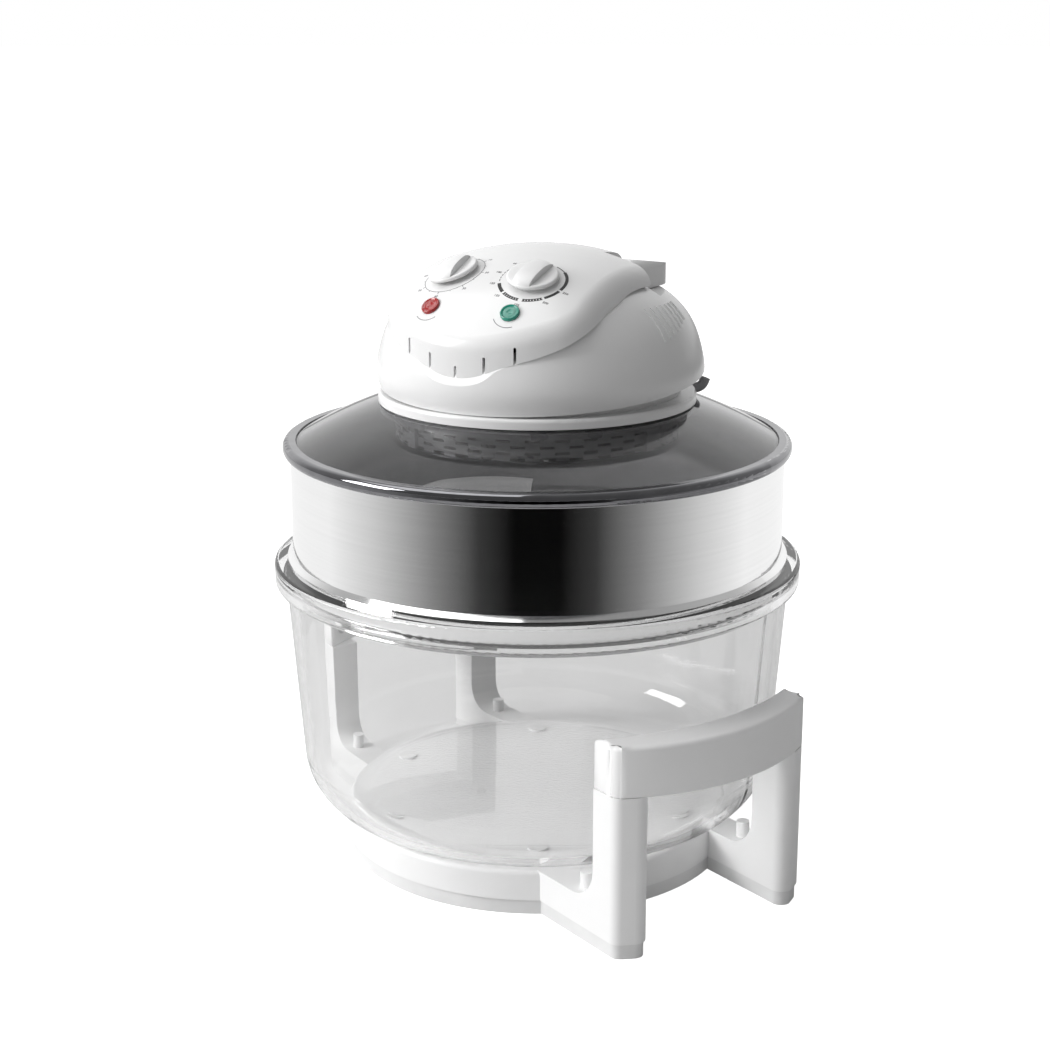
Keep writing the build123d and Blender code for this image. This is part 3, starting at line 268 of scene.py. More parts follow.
card_tree.links.new(card_axis.outputs["X"], card_angle.inputs[1])
card_tree.links.new(card_angle.outputs[0], card_size.inputs[0])
card_tree.links.new(card_size.outputs[0], card_share.inputs[0])
card_tree.links.new(card_share.outputs[0], card_ramp.inputs["Fac"])
card_tree.links.new(card_ramp.outputs["Color"], card_glow.inputs["Color"])
card_tree.links.new(card_glow.outputs[0], card_tree.nodes["Material Output"].inputs["Surface"])
grey_stops(card_ramp, CARD_STOPS)
card_mesh.materials.append(card_paint)
print("card spans", round(math.degrees(2 * CARD_HALF_ANGLE)), "degrees")

# %% [markdown]
# Every finish is built from the same few steps. A cloud of noise in the piece's own coordinates
# shifts the colour by a shade, moves the gloss a little, and lifts the surface by a hundredth of a
# millimetre or so, as a moulding, a rolled sheet or a casting does.

# %% Finish helpers
CLOUD_LOW = 0.3
CLOUD_HIGH = 0.7


def new_finish(name, colour, **sockets):
    """A finish with one colour and any of the shader's sockets, with _ for a space in their names."""
    finish = bpy.data.materials.new(name)
    finish.use_nodes = True
    shader = finish.node_tree.nodes["Principled BSDF"]
    shader.inputs["Base Color"].default_value = (*colour, 1)
    for key, value in sockets.items():
        shader.inputs[key.replace("_", " ")].default_value = value
    return finish


def shader_of(finish):
    return finish.node_tree.nodes["Principled BSDF"]


def add_noise(finish, scale, detail=3.0, stretch=(1, 1, 1)):
    """A cloud in the piece's own coordinates, with a scale per metre."""
    tree = finish.node_tree
    coordinates = add_node(tree, "ShaderNodeTexCoord")
    mapping = add_node(tree, "ShaderNodeMapping")
    mapping.inputs["Scale"].default_value = stretch
    noise = add_node(tree, "ShaderNodeTexNoise")
    noise.inputs["Scale"].default_value = scale
    noise.inputs["Detail"].default_value = detail
    tree.links.new(coordinates.outputs["Object"], mapping.inputs["Vector"])
    tree.links.new(mapping.outputs["Vector"], noise.inputs["Vector"])
    return noise.outputs["Fac"]


def vary_colour(finish, noise, dark, light):
    """Let the colour drift between two shades with the cloud."""
    tree = finish.node_tree
    ramp = add_node(tree, "ShaderNodeValToRGB")
    ramp.color_ramp.elements[0].position = CLOUD_LOW
    ramp.color_ramp.elements[0].color = (*dark, 1)
    ramp.color_ramp.elements[1].position = CLOUD_HIGH
    ramp.color_ramp.elements[1].color = (*light, 1)
    tree.links.new(noise, ramp.inputs["Fac"])
    tree.links.new(ramp.outputs["Color"], shader_of(finish).inputs["Base Color"])


def vary_roughness(finish, noise, low, high):
    """Let the gloss drift between two values with the cloud."""
    tree = finish.node_tree
    spread = add_node(tree, "ShaderNodeMapRange")
    spread.inputs["From Min"].default_value = CLOUD_LOW
    spread.inputs["From Max"].default_value = CLOUD_HIGH
    spread.inputs["To Min"].default_value = low
    spread.inputs["To Max"].default_value = high
    tree.links.new(noise, spread.inputs["Value"])
    tree.links.new(spread.outputs[0], shader_of(finish).inputs["Roughness"])


def lift_surface(finish, noise, height):
    """Raise the surface with the cloud, by a height in metres."""
    tree = finish.node_tree
    bump = add_node(tree, "ShaderNodeBump")
    bump.inputs["Strength"].default_value = 1.0
    bump.inputs["Distance"].default_value = height
    tree.links.new(noise, bump.inputs["Height"])
    tree.links.new(bump.outputs["Normal"], shader_of(finish).inputs["Normal"])


def shade(colour, factor):
    return tuple(min(1.0, c * factor) for c in colour)


def plain_finish(name, colour, roughness, scale=60.0, spread=0.03, height=0.00001, gloss=0.15, **sockets):
    """A moulded or cast surface with a faint unevenness in colour, gloss and relief.

    spread and gloss are the share by which the colour and the roughness drift either way.
    """
    finish = new_finish(name, colour, **sockets)
    cloud = add_noise(finish, scale)
    vary_colour(finish, cloud, shade(colour, 1 - spread), shade(colour, 1 + spread))
    vary_roughness(finish, cloud, roughness * (1 - gloss), roughness * (1 + gloss))
    lift_surface(finish, add_noise(finish, scale * 12, detail=2.0), height)
    return finish


def let_lamps_through(finish, tint):
    """Rays from the lamps pass through this glass, so that what is inside it is lit."""
    tree = finish.node_tree
    clear = add_node(tree, "ShaderNodeBsdfTransparent")
    clear.inputs["Color"].default_value = (*tint, 1)
    mix = add_node(tree, "ShaderNodeMixShader")
    tree.links.new(ray_switch(tree, ("Is Shadow Ray",)), mix.inputs["Fac"])
    tree.links.new(shader_of(finish).outputs["BSDF"], mix.inputs[1])
    tree.links.new(clear.outputs[0], mix.inputs[2])
    tree.links.new(mix.outputs[0], tree.nodes["Material Output"].inputs["Surface"])


print("finish helpers are ready")

# %% [markdown]
# The stand, the head and its cover are one white plastic. It is glossy on the head, where the
# photograph shows crisp highlights, and a little duller on the stand. The strip under the stand
# is a pale grey.

# %% White and grey mouldings
WHITE = (0.80, 0.80, 0.80)

head_white = plain_finish(
    "head_white", WHITE, 0.26, spread=0.004, height=0.000002, gloss=0.03,
    Coat_Weight=0.25, Coat_Roughness=0.12,
)
# Painted light: the stand's white is lighter than the head's, for the stronger light that falls on the stand.
stand_white_painted_light = plain_finish("stand_white_painted_light", (0.90, 0.90, 0.90), 0.38, spread=0.006, height=0.000004, gloss=0.04)
knob_white = plain_finish("knob_white", (0.80, 0.80, 0.80), 0.30, spread=0.006, height=0.000002, gloss=0.04)
foot_grey = plain_finish("foot_grey", (0.80, 0.80, 0.80), 0.45)
gland_grey = plain_finish("gland_grey", (0.36, 0.36, 0.37), 0.6, height=0.00003)
unit_black = plain_finish("unit_black", (0.025, 0.025, 0.027), 0.5, spread=0.2)
print("six mouldings")

# %% [markdown]
# Steel mirrors its surroundings and its own colour hardly matters. What tells sheets apart is how
# they were finished. The ring is rolled and polished, so its noise is stretched round it and the
# mirror is blurred a little along its height. Its inner face gets painted shade, a darker colour,
# which keeps what shows through the tinted lid as dark as it is in the photograph. The cage is plated and
# duller still.

# %% Metals
RING_MIDDLE = 154.9 * MM
# Share of the colour kept on the ring's inner face, where shade is painted.
RING_INNER_SHADE = 0.5


def dull_inside(finish, middle, factor):
    """Paint shade on the inner face of a round wall: its colour is darkened there."""
    tree = finish.node_tree
    place = add_node(tree, "ShaderNodeTexCoord")
    level = add_node(tree, "ShaderNodeVectorMath", operation="MULTIPLY")
    level.inputs[1].default_value = (1, 1, 0)
    reach = add_node(tree, "ShaderNodeVectorMath", operation="LENGTH")
    outer = add_node(tree, "ShaderNodeMath", operation="GREATER_THAN")
    outer.inputs[1].default_value = middle
    spread = add_node(tree, "ShaderNodeMapRange")
    spread.inputs["To Min"].default_value = factor
    scaled = add_node(tree, "ShaderNodeVectorMath", operation="SCALE")
    base = shader_of(finish).inputs["Base Color"]
    tree.links.new(place.outputs["Object"], level.inputs[0])
    tree.links.new(level.outputs["Vector"], reach.inputs[0])
    tree.links.new(reach.outputs["Value"], outer.inputs[0])
    tree.links.new(outer.outputs[0], spread.inputs["Value"])
    tree.links.new(base.links[0].from_socket, scaled.inputs[0])
    tree.links.new(spread.outputs[0], scaled.inputs["Scale"])
    tree.links.new(scaled.outputs["Vector"], base)


ring_steel = new_finish("ring_steel", (0.90, 0.90, 0.90), Metallic=1.0)
ring_lines = add_noise(ring_steel, 8.0, detail=4.0, stretch=(1, 1, 60))
vary_colour(ring_steel, ring_lines, (0.89, 0.89, 0.89), (0.92, 0.92, 0.92))
vary_roughness(ring_steel, ring_lines, 0.08, 0.10)
# Painted shade: the ring's colour is darker on its inner face.
dull_inside(ring_steel, RING_MIDDLE, RING_INNER_SHADE)

bead_steel = new_finish("bead_steel", (0.21, 0.21, 0.22), Metallic=1.0)
bead_cloud = add_noise(bead_steel, 90.0)
vary_colour(bead_steel, bead_cloud, (0.19, 0.19, 0.20), (0.23, 0.23, 0.24))
vary_roughness(bead_steel, bead_cloud, 0.05, 0.08)

cage_steel = new_finish("cage_steel", (0.85, 0.85, 0.85), Metallic=0.6)
cage_cloud = add_noise(cage_steel, 45.0)
vary_colour(cage_steel, cage_cloud, (0.80, 0.80, 0.81), (0.90, 0.90, 0.90))
vary_roughness(cage_steel, cage_cloud, 0.24, 0.38)
lift_surface(cage_steel, add_noise(cage_steel, 600.0), 0.00002)

bright_sheet = new_finish("bright_sheet", (0.85, 0.85, 0.86), Metallic=1.0)
sheet_cloud = add_noise(bright_sheet, 30.0)
vary_colour(bright_sheet, sheet_cloud, (0.80, 0.80, 0.81), (0.89, 0.89, 0.90))
vary_roughness(bright_sheet, sheet_cloud, 0.16, 0.26)

screw_steel = plain_finish("screw_steel", (0.55, 0.55, 0.56), 0.3, scale=300.0, Metallic=1.0)
motor_iron = plain_finish("motor_iron", (0.14, 0.145, 0.15), 0.5, scale=200.0, Metallic=0.6)
coil_copper = plain_finish("coil_copper", (0.42, 0.17, 0.07), 0.35, scale=400.0, Metallic=0.9)
bearing_bronze = plain_finish("bearing_bronze", (0.42, 0.28, 0.12), 0.4, scale=200.0, Metallic=1.0)
fan_sheet = plain_finish("fan_sheet", (0.66, 0.66, 0.67), 0.3, scale=80.0, Metallic=1.0)
print("nine metals")

# %% [markdown]
# Glass has almost no colour of its own. Each wall the light crosses takes a little away, so the
# thick rim and the steep sides look greyer than the middle. The lid is tinted with smoke. Lamps
# have to reach what is inside, so the bowl and the lid let the lamps' rays straight through.

# %% Glass, seals and lamp
bowl_glass = new_finish("bowl_glass", (0.94, 0.94, 0.94), Transmission_Weight=1.0, IOR=1.47, Roughness=0.0)
bowl_cloud = add_noise(bowl_glass, 14.0)
vary_colour(bowl_glass, bowl_cloud, (0.93, 0.93, 0.93), (0.95, 0.95, 0.95))
let_lamps_through(bowl_glass, (0.95, 0.95, 0.95))

# The bowl's floor is pressed with a fine stipple, which ends at this reach and height.
STIPPLE_REACH = 108 * MM
STIPPLE_TOP = 34 * MM
STIPPLE_SCALE = 520.0
STIPPLE_DEPTH = 0.08 * MM
stipple_tree = bowl_glass.node_tree
stipple_place = add_node(stipple_tree, "ShaderNodeTexCoord")
stipple_axis = add_node(stipple_tree, "ShaderNodeSeparateXYZ")
flat_place = add_node(stipple_tree, "ShaderNodeVectorMath", operation="MULTIPLY")
flat_place.inputs[1].default_value = (1, 1, 0)
from_middle = add_node(stipple_tree, "ShaderNodeVectorMath", operation="LENGTH")
within = add_node(stipple_tree, "ShaderNodeMath", operation="LESS_THAN")
within.inputs[1].default_value = STIPPLE_REACH
low_down = add_node(stipple_tree, "ShaderNodeMath", operation="LESS_THAN")
low_down.inputs[1].default_value = STIPPLE_TOP
only_floor = add_node(stipple_tree, "ShaderNodeMath", operation="MULTIPLY")
stipple = add_node(stipple_tree, "ShaderNodeTexVoronoi", feature="SMOOTH_F1")
stipple.inputs["Scale"].default_value = STIPPLE_SCALE
relief = add_node(stipple_tree, "ShaderNodeBump")
relief.inputs["Distance"].default_value = STIPPLE_DEPTH
stipple_tree.links.new(stipple_place.outputs["Object"], flat_place.inputs[0])
stipple_tree.links.new(stipple_place.outputs["Object"], stipple_axis.inputs["Vector"])
stipple_tree.links.new(stipple_place.outputs["Object"], stipple.inputs["Vector"])
stipple_tree.links.new(flat_place.outputs["Vector"], from_middle.inputs[0])
stipple_tree.links.new(from_middle.outputs["Value"], within.inputs[0])
stipple_tree.links.new(stipple_axis.outputs["Z"], low_down.inputs[0])
stipple_tree.links.new(within.outputs[0], only_floor.inputs[0])
stipple_tree.links.new(low_down.outputs[0], only_floor.inputs[1])
stipple_tree.links.new(only_floor.outputs[0], relief.inputs["Strength"])
stipple_tree.links.new(stipple.outputs["Distance"], relief.inputs["Height"])
stipple_tree.links.new(relief.outputs["Normal"], shader_of(bowl_glass).inputs["Normal"])

lid_glass = new_finish(
    "lid_glass", (0.26, 0.26, 0.265), Transmission_Weight=1.0, IOR=1.47, Roughness=0.0,
    Specular_IOR_Level=0.28,
)
lid_cloud = add_noise(lid_glass, 14.0)
vary_colour(lid_glass, lid_cloud, (0.25, 0.25, 0.255), (0.27, 0.27, 0.275))
let_lamps_through(lid_glass, (0.70, 0.70, 0.71))

lamp_glass = new_finish("lamp_glass", (0.95, 0.94, 0.92), Transmission_Weight=1.0, IOR=1.45, Roughness=0.05)
lamp_cloud = add_noise(lamp_glass, 40.0)
vary_colour(lamp_glass, lamp_cloud, (0.90, 0.88, 0.84), (0.97, 0.96, 0.93))
let_lamps_through(lamp_glass, (0.9, 0.9, 0.88))

seal_grey = plain_finish("seal_grey", (0.09, 0.09, 0.09), 0.65, height=0.00003)
pad_silicone = plain_finish("pad_silicone", (0.84, 0.84, 0.84), 0.4)
ceramic_white = plain_finish("ceramic_white", (0.70, 0.69, 0.66), 0.6, height=0.00004)
lens_red = plain_finish("lens_red", (0.33, 0.004, 0.004), 0.12, scale=300.0, spread=0.08, Coat_Weight=0.8)
lens_green = plain_finish("lens_green", (0.002, 0.23, 0.16), 0.12, scale=300.0, spread=0.08, Coat_Weight=0.8)
print("three glasses and five more finishes")

# %% Give every node its finish
finish_of_slot = {
    "white_shell": head_white, "foot_grey": foot_grey, "clear_glass": bowl_glass,
    "smoke_glass": lid_glass, "mirror_steel": ring_steel, "rim_steel": bead_steel,
    "cage_steel": cage_steel, "seal_rubber": seal_grey, "clear_silicone": pad_silicone,
    "gland_grey": gland_grey, "knob_white": knob_white, "lens_red": lens_red,
    "lens_green": lens_green, "screw_steel": screw_steel, "reflector_bright": bright_sheet,
    "lamp_glass": lamp_glass, "ceramic_white": ceramic_white, "motor_iron": motor_iron,
    "coil_copper": coil_copper, "bearing_bronze": bearing_bronze, "fan_aluminium": fan_sheet,
    "unit_black": unit_black,
}
slot_of_node = {part["node"]: part["material_slot"] for part in frame["record"]["subparts"]}
stand_nodes = ("base_ring", "right_grip", "left_grip")
for node_name, node in frame["nodes"].items():
    finish = stand_white_painted_light if node_name in stand_nodes else finish_of_slot[slot_of_node[node_name]]
    node.data.materials.clear()
    node.data.materials.append(finish)
print("finished", len(frame["nodes"]), "nodes")

# %% [markdown]
# The marks on the panel are printed ink, which stands on the surface by a tenth of a millimetre.
# Each mark is drawn flat, in the plane of its dial or lamp, and then dropped straight onto the
# curved cover, so that it follows the vault. A little thickness makes it a closed solid.

# %% Panel planes and the drop onto the cover
DIAL_PLACE = (27.3, -52.4, 376.0)
DIAL_LEAN = math.radians(21.0)
LENS_PLACE = (27.2, -78.8, 359.5)
LENS_LEAN = math.radians(40.0)
PANEL_SPLAY = math.tan(math.radians(9.0))
INK_SINK = 0.06 * MM
INK_RISE = 0.10 * MM


def panel_frame(place, lean, side):
    """Matrix from a flat drawing in millimetres to the leaning panel, for the left or right side."""
    across = Vector((1, 0, -side * PANEL_SPLAY)).normalized()
    out = Vector((side * PANEL_SPLAY, -math.tan(lean), 1)).normalized()
    up = out.cross(across)
    turn = Matrix((across, up, out)).transposed().to_4x4()
    centre = Vector((side * place[0], place[1], place[2])) * MM
    return Matrix.Translation(centre) @ turn @ Matrix.Scale(MM, 4)


def surface_of(node_name):
    """A tree of a node's faces that rays can be cast against."""
    mesh = frame["nodes"][node_name].data
    return BVHTree.FromPolygons([v.co for v in mesh.vertices], [p.vertices for p in mesh.polygons])


cover_surface = surface_of("top_cover")
RAY_START = 20 * MM


def drop_on_cover(form, place):
    """Move flat points onto the cover along the panel's normal and give them ink thickness."""
    out = place.to_3x3() @ Vector((0, 0, 1))
    out.normalize()
    for vert in form.verts:
        start = place @ vert.co
        hit = cover_surface.ray_cast(start + out * RAY_START, -out)[0]
        vert.co = (hit if hit else start) - out * INK_SINK
    bottom = list(form.faces)
    rise = bmesh.ops.extrude_face_region(form, geom=bottom, use_keep_orig=True)
    top = [g for g in rise["geom"] if isinstance(g, bmesh.types.BMVert)]
    bmesh.ops.translate(form, verts=top, vec=out * (INK_SINK + INK_RISE))
    bmesh.ops.recalc_face_normals(form, faces=form.faces)


def finish_piece(name, form, material, body):
    """Turn a form into an object that moves with its body."""
    mesh = bpy.data.meshes.new(name)
    form.to_mesh(mesh)
    form.free()
    mesh.materials.append(material)
    piece = bpy.data.objects.new(name, mesh)
    scene.collection.objects.link(piece)
    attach(piece, body)
    print(name, len(mesh.polygons), "faces")
    return piece


print("cover surface is ready")

# %% Flat strokes for dials
def flat_arc(form, radius, width, start, end, steps=None):
    """A band of ink along an arc, from one angle to another in degrees."""
    steps = steps or max(2, round(abs(end - start) / 4))
    inner, outer = radius - width / 2, radius + width / 2
    turn = math.radians(start)
    first = form.verts.new((inner * math.cos(turn), inner * math.sin(turn), 0))
    second = form.verts.new((outer * math.cos(turn), outer * math.sin(turn), 0))
    edge = form.edges.new((first, second))
    bmesh.ops.spin(
        form, geom=[first, second, edge], cent=(0, 0, 0), axis=(0, 0, 1),
        angle=math.radians(end - start), steps=steps,
    )


def flat_tick(form, inner, outer, width, angle):
    """A short stroke that points away from the dial's middle."""
    made = bmesh.ops.create_grid(form, x_segments=2, y_segments=1, size=0.5)["verts"]
    bmesh.ops.scale(form, verts=made, vec=(outer - inner, width, 1))
    bmesh.ops.translate(form, verts=made, vec=((inner + outer) / 2, 0, 0))
    bmesh.ops.rotate(form, verts=made, matrix=Matrix.Rotation(math.radians(angle), 3, "Z"))


def flat_dot(form, radius, reach, angle):
    """A round dot of ink on the dial's ring."""
    made = bmesh.ops.create_circle(form, cap_ends=True, segments=20, radius=radius)["verts"]
    turn = math.radians(angle)
    bmesh.ops.translate(form, verts=made, vec=(reach * math.cos(turn), reach * math.sin(turn), 0))


def flat_number(form, words, height, reach, angle):
    """A plain number, upright on the panel, in the middle of the place it belongs to."""
    curve = bpy.data.curves.new("number", "FONT")
    curve.body = words
    curve.size = height
    curve.align_x = "CENTER"
    curve.align_y = "CENTER"
    curve.resolution_u = 2
    holder = bpy.data.objects.new("number", curve)
    scene.collection.objects.link(holder)
    bpy.context.view_layer.update()
    flat = bpy.data.meshes.new_from_object(holder.evaluated_get(bpy.context.evaluated_depsgraph_get()))
    bpy.data.objects.remove(holder)
    before = set(form.verts)
    form.from_mesh(flat)
    bpy.data.meshes.remove(flat)
    made = [vert for vert in form.verts if vert not in before]
    turn = math.radians(angle)
    bmesh.ops.translate(form, verts=made, vec=(reach * math.cos(turn), reach * math.sin(turn), 0))


panel_ink = plain_finish("panel_ink", (0.16, 0.16, 0.17), 0.5, scale=500.0, spread=0.15)
dial_ink = plain_finish("dial_ink", (0.012, 0.012, 0.013), 0.4, scale=500.0, spread=0.3)

# %% Timer print
TIMER_START = 90.0
TIMER_SWEEP = 278.0
TIMER_RADIUS = 19.2
TIMER_STROKE = 0.35
TIMER_LONG_MARK = 1.8
TIMER_SHORT_MARK = 1.0
TIMER_NUMBER = 2.6
TIMER_NUMBER_GAP = 4.0
TIMER_MINUTES = 60
MARK_MINUTES = 5

timer_form = bmesh.new()
flat_arc(timer_form, TIMER_RADIUS, TIMER_STROKE, TIMER_START, TIMER_START - TIMER_SWEEP, steps=72)
for minutes in range(0, TIMER_MINUTES + 1, MARK_MINUTES):
    angle = TIMER_START - minutes * TIMER_SWEEP / TIMER_MINUTES
    long_mark = minutes % (2 * MARK_MINUTES) == 0
    mark_end = TIMER_RADIUS + (TIMER_LONG_MARK if long_mark else TIMER_SHORT_MARK)
    flat_tick(timer_form, TIMER_RADIUS, mark_end, TIMER_STROKE, angle)
    if long_mark:
        flat_number(timer_form, str(minutes), TIMER_NUMBER, TIMER_RADIUS + TIMER_NUMBER_GAP, angle)
timer_place = panel_frame(DIAL_PLACE, DIAL_LEAN, -1)
drop_on_cover(timer_form, timer_place)
finish_piece("timer_print", timer_form, panel_ink, "lid")

# %% Temperature print
HEAT_RADIUS = 20.0
THICK = 1.9
THIN = 0.4
HEAT_DOT = 1.1
BLOCK_RAIL = 0.8
BLOCK_RAIL_WIDTH = 0.45
BLOCK_BARS = 7
BAR_WIDTH = 1.2
BAR_HALF_ANGLE = 1.6
HEAT_NUMBER = 2.4
HEAT_NUMBER_GAP = 4.2
HEAT_NUMBERS = (
    ("250", -8), ("200", -42), ("175", -83), ("150", -121), ("125", -152), ("100", -181), ("65", -212),
)

heat_form = bmesh.new()
flat_dot(heat_form, HEAT_DOT, HEAT_RADIUS, 88)
flat_arc(heat_form, HEAT_RADIUS, 0.6, 76, 52)
flat_arc(heat_form, HEAT_RADIUS, THICK, 52, -6)
flat_arc(heat_form, HEAT_RADIUS, THICK, -10, -40)
for start in (-44, -85, -123):
    sweep = 34 if start > -120 else 26
    for edge_radius in (HEAT_RADIUS - BLOCK_RAIL, HEAT_RADIUS + BLOCK_RAIL):
        flat_arc(heat_form, edge_radius, BLOCK_RAIL_WIDTH, start, start - sweep)
    for step in range(BLOCK_BARS):
        angle = start - sweep * (step + 0.5) / BLOCK_BARS
        flat_arc(heat_form, HEAT_RADIUS, BAR_WIDTH, angle - BAR_HALF_ANGLE, angle + BAR_HALF_ANGLE, steps=1)
for start in range(-156, -214, -8):
    flat_arc(heat_form, HEAT_RADIUS, THIN, start, start - 5, steps=2)
for words, angle in HEAT_NUMBERS:
    flat_number(heat_form, words, HEAT_NUMBER, HEAT_RADIUS + HEAT_NUMBER_GAP, angle)
heat_place = panel_frame(DIAL_PLACE, DIAL_LEAN, 1)
drop_on_cover(heat_form, heat_place)
finish_piece("temperature_print", heat_form, dial_ink, "lid")

# %% Thin arcs under the two lamps
LAMP_ARC_RADIUS = 10.2
LAMP_ARC_WIDTH = 0.4

for side, name in ((-1, "red_lamp_arc"), (1, "green_lamp_arc")):
    arc_form = bmesh.new()
    flat_arc(arc_form, LAMP_ARC_RADIUS, LAMP_ARC_WIDTH, -140, -55, steps=24)
    drop_on_cover(arc_form, panel_frame(LENS_PLACE, LENS_LEAN, side))
    finish_piece(name, arc_form, panel_ink, "lid")

# %% [markdown]
# Each lamp lens is a shallow cup inside a raised rim, so it holds a bright rim, a dark ring and a
# spark in the middle. A profile spun round the lens's own axis gives all three at once, and its
# stem goes down through the cover as the plain lens of the solid model does, which it replaces.

# %% Lamp lenses
LENS_STEM = -9.0
LENS_STEPS = 48
LENS_PROFILE = (
    (0.0, 0.9), (0.9, 0.95), (1.7, 1.2), (2.6, 1.35), (3.5, 1.15), (4.1, 1.0), (4.7, 1.4), (5.2, 1.65),
    (5.6, 1.55), (5.9, 1.1), (5.95, 0.0), (5.95, LENS_STEM), (0.0, LENS_STEM),
)


def lamp_lens(name, side, material, replaced):
    """One lens, spun from its profile and set into the panel."""
    form = bmesh.new()
    points = [form.verts.new((reach, 0, height)) for reach, height in LENS_PROFILE]
    edges = [form.edges.new(pair) for pair in zip(points, points[1:])]
    bmesh.ops.spin(
        form, geom=points + edges, cent=(0, 0, 0), axis=(0, 0, 1), angle=2 * math.pi, steps=LENS_STEPS,
        use_merge=True,
    )
    bmesh.ops.remove_doubles(form, verts=form.verts, dist=0.001)
    bmesh.ops.recalc_face_normals(form, faces=form.faces)
    bmesh.ops.transform(form, matrix=panel_frame(LENS_PLACE, LENS_LEAN, side), verts=form.verts)
    for face in form.faces:
        face.smooth = True
    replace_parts(finish_piece(name, form, material, "lid"), replaced)


lamp_lens("red_lamp_lens", -1, lens_red, "red_lens")
lamp_lens("green_lamp_lens", 1, lens_green, "green_lens")

# %% [markdown]
# A knob of this kind is a low dome with both sides cut away, which leaves a ridge for two fingers.
# The dome is spun, and two planes cut it down to the ridge. A thin disc under it is spun too. They
# stand for the plain knobs of the solid model.

# %% Knobs
KNOB_RADIUS = 15.5
KNOB_FOOT = 1.6
KNOB_DISC = 3.9
KNOB_TOP = 8.0
RIDGE_HALF = 5.8
RIDGE_ROUND = 0.9
DISC_PROFILE = (
    (0.0, KNOB_FOOT), (KNOB_RADIUS, KNOB_FOOT), (KNOB_RADIUS, KNOB_DISC - 1.2),
    (KNOB_RADIUS - 0.35, KNOB_DISC - 0.35), (KNOB_RADIUS - 1.2, KNOB_DISC),
    (KNOB_RADIUS - 3.5, KNOB_DISC - 0.25), (0.0, KNOB_DISC - 0.25),
)
DOME_FOOT = 3.0
DOME_INSET = 0.6
DOME_STEPS = 12
KNOB_STEPS = 64


def spun(form, profile, steps):
    """Spin a profile of reach and height round the knob's axis and give back its points."""
    before = set(form.verts)
    points = [form.verts.new((reach, 0, height)) for reach, height in profile]
    edges = [form.edges.new(pair) for pair in zip(points, points[1:])]
    bmesh.ops.spin(
        form, geom=points + edges, cent=(0, 0, 0), axis=(0, 0, 1), angle=2 * math.pi, steps=steps,
        use_merge=True,
    )
    bmesh.ops.remove_doubles(form, verts=[v for v in form.verts if v not in before], dist=0.001)
    return [vert for vert in form.verts if vert not in before]


def finger_ridge(form):
    """A dome that two planes cut down to the ridge for the fingers."""
    dome = [(0.0, KNOB_FOOT), (KNOB_RADIUS - DOME_INSET, KNOB_FOOT)]
    for step in range(DOME_STEPS + 1):
        turn = math.pi / 2 * step / DOME_STEPS
        reach = (KNOB_RADIUS - DOME_INSET) * math.cos(turn) ** 0.8
        height = DOME_FOOT + (KNOB_TOP - DOME_FOOT) * math.sin(turn)
        dome.append((reach if step < DOME_STEPS else 0.0, height))
    spun(form, dome, KNOB_STEPS)
    for side in (-1, 1):
        cut = bmesh.ops.bisect_plane(
            form, geom=form.verts[:] + form.edges[:] + form.faces[:], dist=0.0001,
            plane_co=(side * RIDGE_HALF, 0, 0), plane_no=(side, 0, 0), clear_outer=True,
        )["geom_cut"]
        rim = [g for g in cut if isinstance(g, bmesh.types.BMEdge)]
        wall = bmesh.ops.edgeloop_fill(form, edges=rim)["faces"]
        bmesh.ops.bevel(
            form, geom=[e for face in wall for e in face.edges], offset=RIDGE_ROUND, segments=3, profile=0.5,
            affect="EDGES", material=-1, clamp_overlap=True,
        )


def knob_cap(name, side, body, replaced):
    """One knob with its disc, turned into the panel's plane."""
    form = bmesh.new()
    finger_ridge(form)
    spun(form, DISC_PROFILE, KNOB_STEPS)
    bmesh.ops.recalc_face_normals(form, faces=form.faces)
    bmesh.ops.transform(form, matrix=panel_frame(DIAL_PLACE, DIAL_LEAN, side), verts=form.verts)
    for face in form.faces:
        face.smooth = len(face.verts) < 12
    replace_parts(finish_piece(name, form, knob_white, body), replaced)


knob_cap("timer_knob_cap", -1, "timer", "timer_knob")
knob_cap("temperature_knob_cap", 1, "temperature", "temperature_knob")

# %% [markdown]
# The bowl rests on six clear pads. In the solid model they touch the glass above and the deck below,
# and two surfaces in one place flicker in a render. These discs leave a hair's breadth on both sides.

# %% Pads under the bowl
PAD_RADIUS = 6.0
PAD_REACH = 104.0
PAD_FOOT = 28.5
PAD_HEIGHT = 1.5
PAD_CLEAR = 0.05
PAD_COUNT = 6

pad_form = bmesh.new()
for count in range(PAD_COUNT):
    disc = bmesh.ops.create_cone(
        pad_form, cap_ends=True, segments=32, radius1=PAD_RADIUS, radius2=PAD_RADIUS,
        depth=PAD_HEIGHT - 2 * PAD_CLEAR,
    )["verts"]
    middle = Vector((PAD_REACH, 0, PAD_FOOT + PAD_HEIGHT / 2))
    middle.rotate(Matrix.Rotation(math.radians(360 / PAD_COUNT * count), 3, "Z"))
    bmesh.ops.translate(pad_form, verts=disc, vec=middle)
bmesh.ops.scale(pad_form, verts=pad_form.verts, vec=(MM, MM, MM))
bmesh.ops.recalc_face_normals(pad_form, faces=pad_form.faces)
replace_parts(finish_piece("clear_pads", pad_form, pad_silicone, "base"), "bowl_pads")

# %% [markdown]
# A grip is one bowed bar that caps two legs. It begins as a flat grid that is bent to the plan, with
# the bowl's curve inside and a tighter bow outside, and is then drawn up to its height. The two outer
# corners get the large rounding of the legs below, the edges that fingers meet get a smaller one.

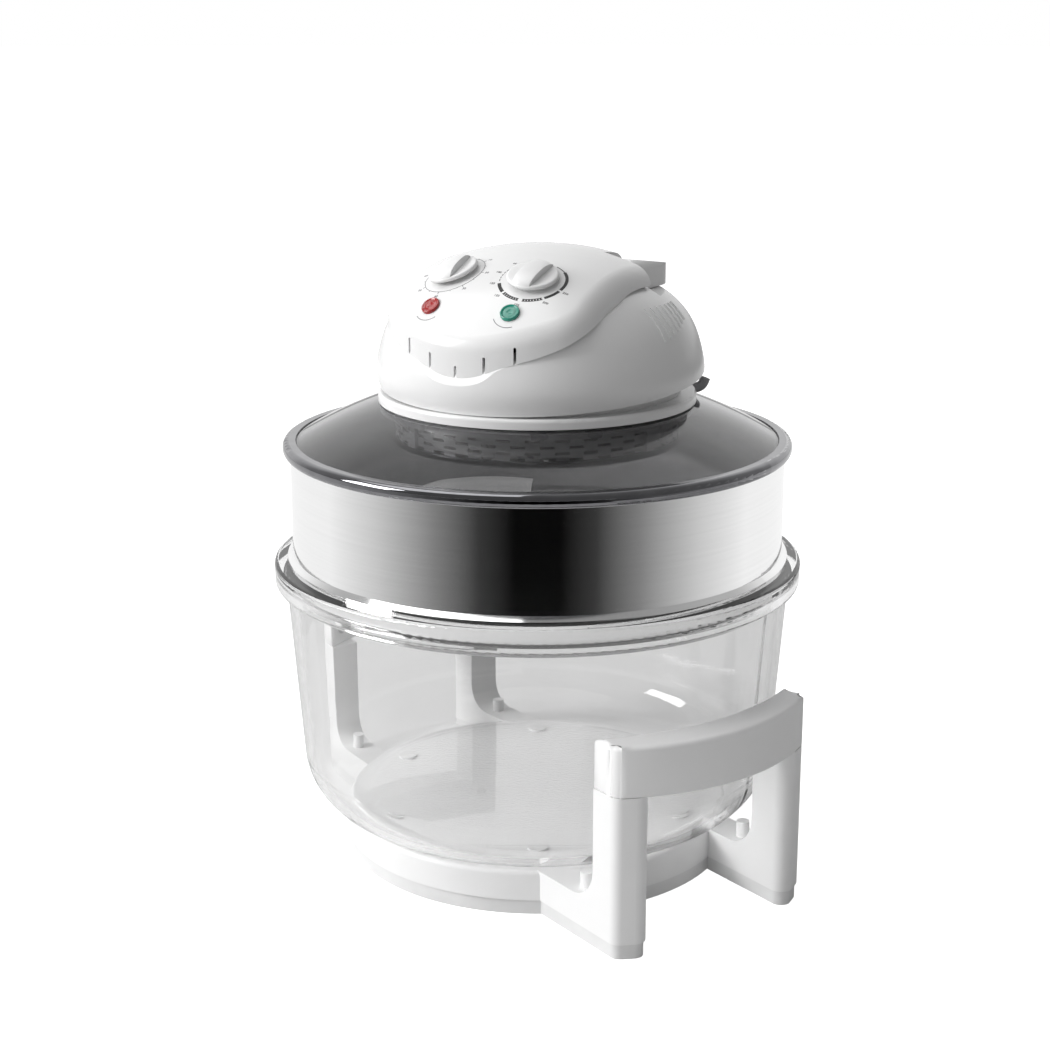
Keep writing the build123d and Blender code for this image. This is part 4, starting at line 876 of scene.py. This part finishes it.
# %% Carrying grips
STAND_TURN = math.radians(-24.0)
GRIP_HALF = 72.5
GRIP_INNER = 171.0
GRIP_REACH = 195.0
GRIP_SAG = 21.0
GRIP_FOOT = 100.0
GRIP_HEIGHT = 31.0
CORNER_ROUND = 7.5
EDGE_ROUND = 3.0
FOOT_ROUND = 1.5
SHARP = 0.5  # radians between two faces, above which their edge is a corner
bow = (GRIP_HALF**2 + GRIP_SAG**2) / (2 * GRIP_SAG)


def carrying_grip(name, turn, replaced):
    """One bowed grip, turned about the oven's axis to its place."""
    form = bmesh.new()
    bmesh.ops.create_grid(form, x_segments=4, y_segments=48, size=0.5)
    for vert in form.verts:
        across = vert.co.y * 2 * GRIP_HALF
        inner = math.sqrt(GRIP_INNER**2 - across**2)
        outer = GRIP_REACH - bow + math.sqrt(bow**2 - across**2)
        vert.co = (inner + (vert.co.x + 0.5) * (outer - inner), across, GRIP_FOOT)
    raised = bmesh.ops.extrude_face_region(form, geom=form.faces[:], use_keep_orig=True)["geom"]
    bmesh.ops.translate(
        form, verts=[g for g in raised if isinstance(g, bmesh.types.BMVert)], vec=(0, 0, GRIP_HEIGHT)
    )
    bmesh.ops.recalc_face_normals(form, faces=form.faces)
    upright = [
        e for e in form.edges
        if abs(e.verts[0].co.z - e.verts[1].co.z) > 1 and e.calc_face_angle(0) > SHARP
    ]
    corners = [e for e in upright if e.verts[0].co.x > GRIP_REACH - GRIP_SAG - 1]
    bmesh.ops.bevel(
        form, geom=corners, offset=CORNER_ROUND, offset_type="OFFSET", segments=6, profile=0.5,
        affect="EDGES", material=-1,
    )
    for height, size in ((GRIP_FOOT + GRIP_HEIGHT, EDGE_ROUND), (GRIP_FOOT, FOOT_ROUND)):
        rim = [
            e for e in form.edges
            if all(abs(v.co.z - height) < 0.01 for v in e.verts) and e.calc_face_angle(0) > SHARP
        ]
        bmesh.ops.bevel(form, geom=rim, offset=size, segments=4, profile=0.5, affect="EDGES", material=-1)
    place = Matrix.Rotation(turn, 4, "Z") @ Matrix.Scale(MM, 4)
    bmesh.ops.transform(form, matrix=place, verts=form.verts)
    for face in form.faces:
        face.smooth = True
    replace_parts(finish_piece(name, form, stand_white_painted_light, "base"), replaced)


carrying_grip("right_grip_bow", STAND_TURN, "right_grip")
carrying_grip("left_grip_bow", STAND_TURN + math.pi, "left_grip")
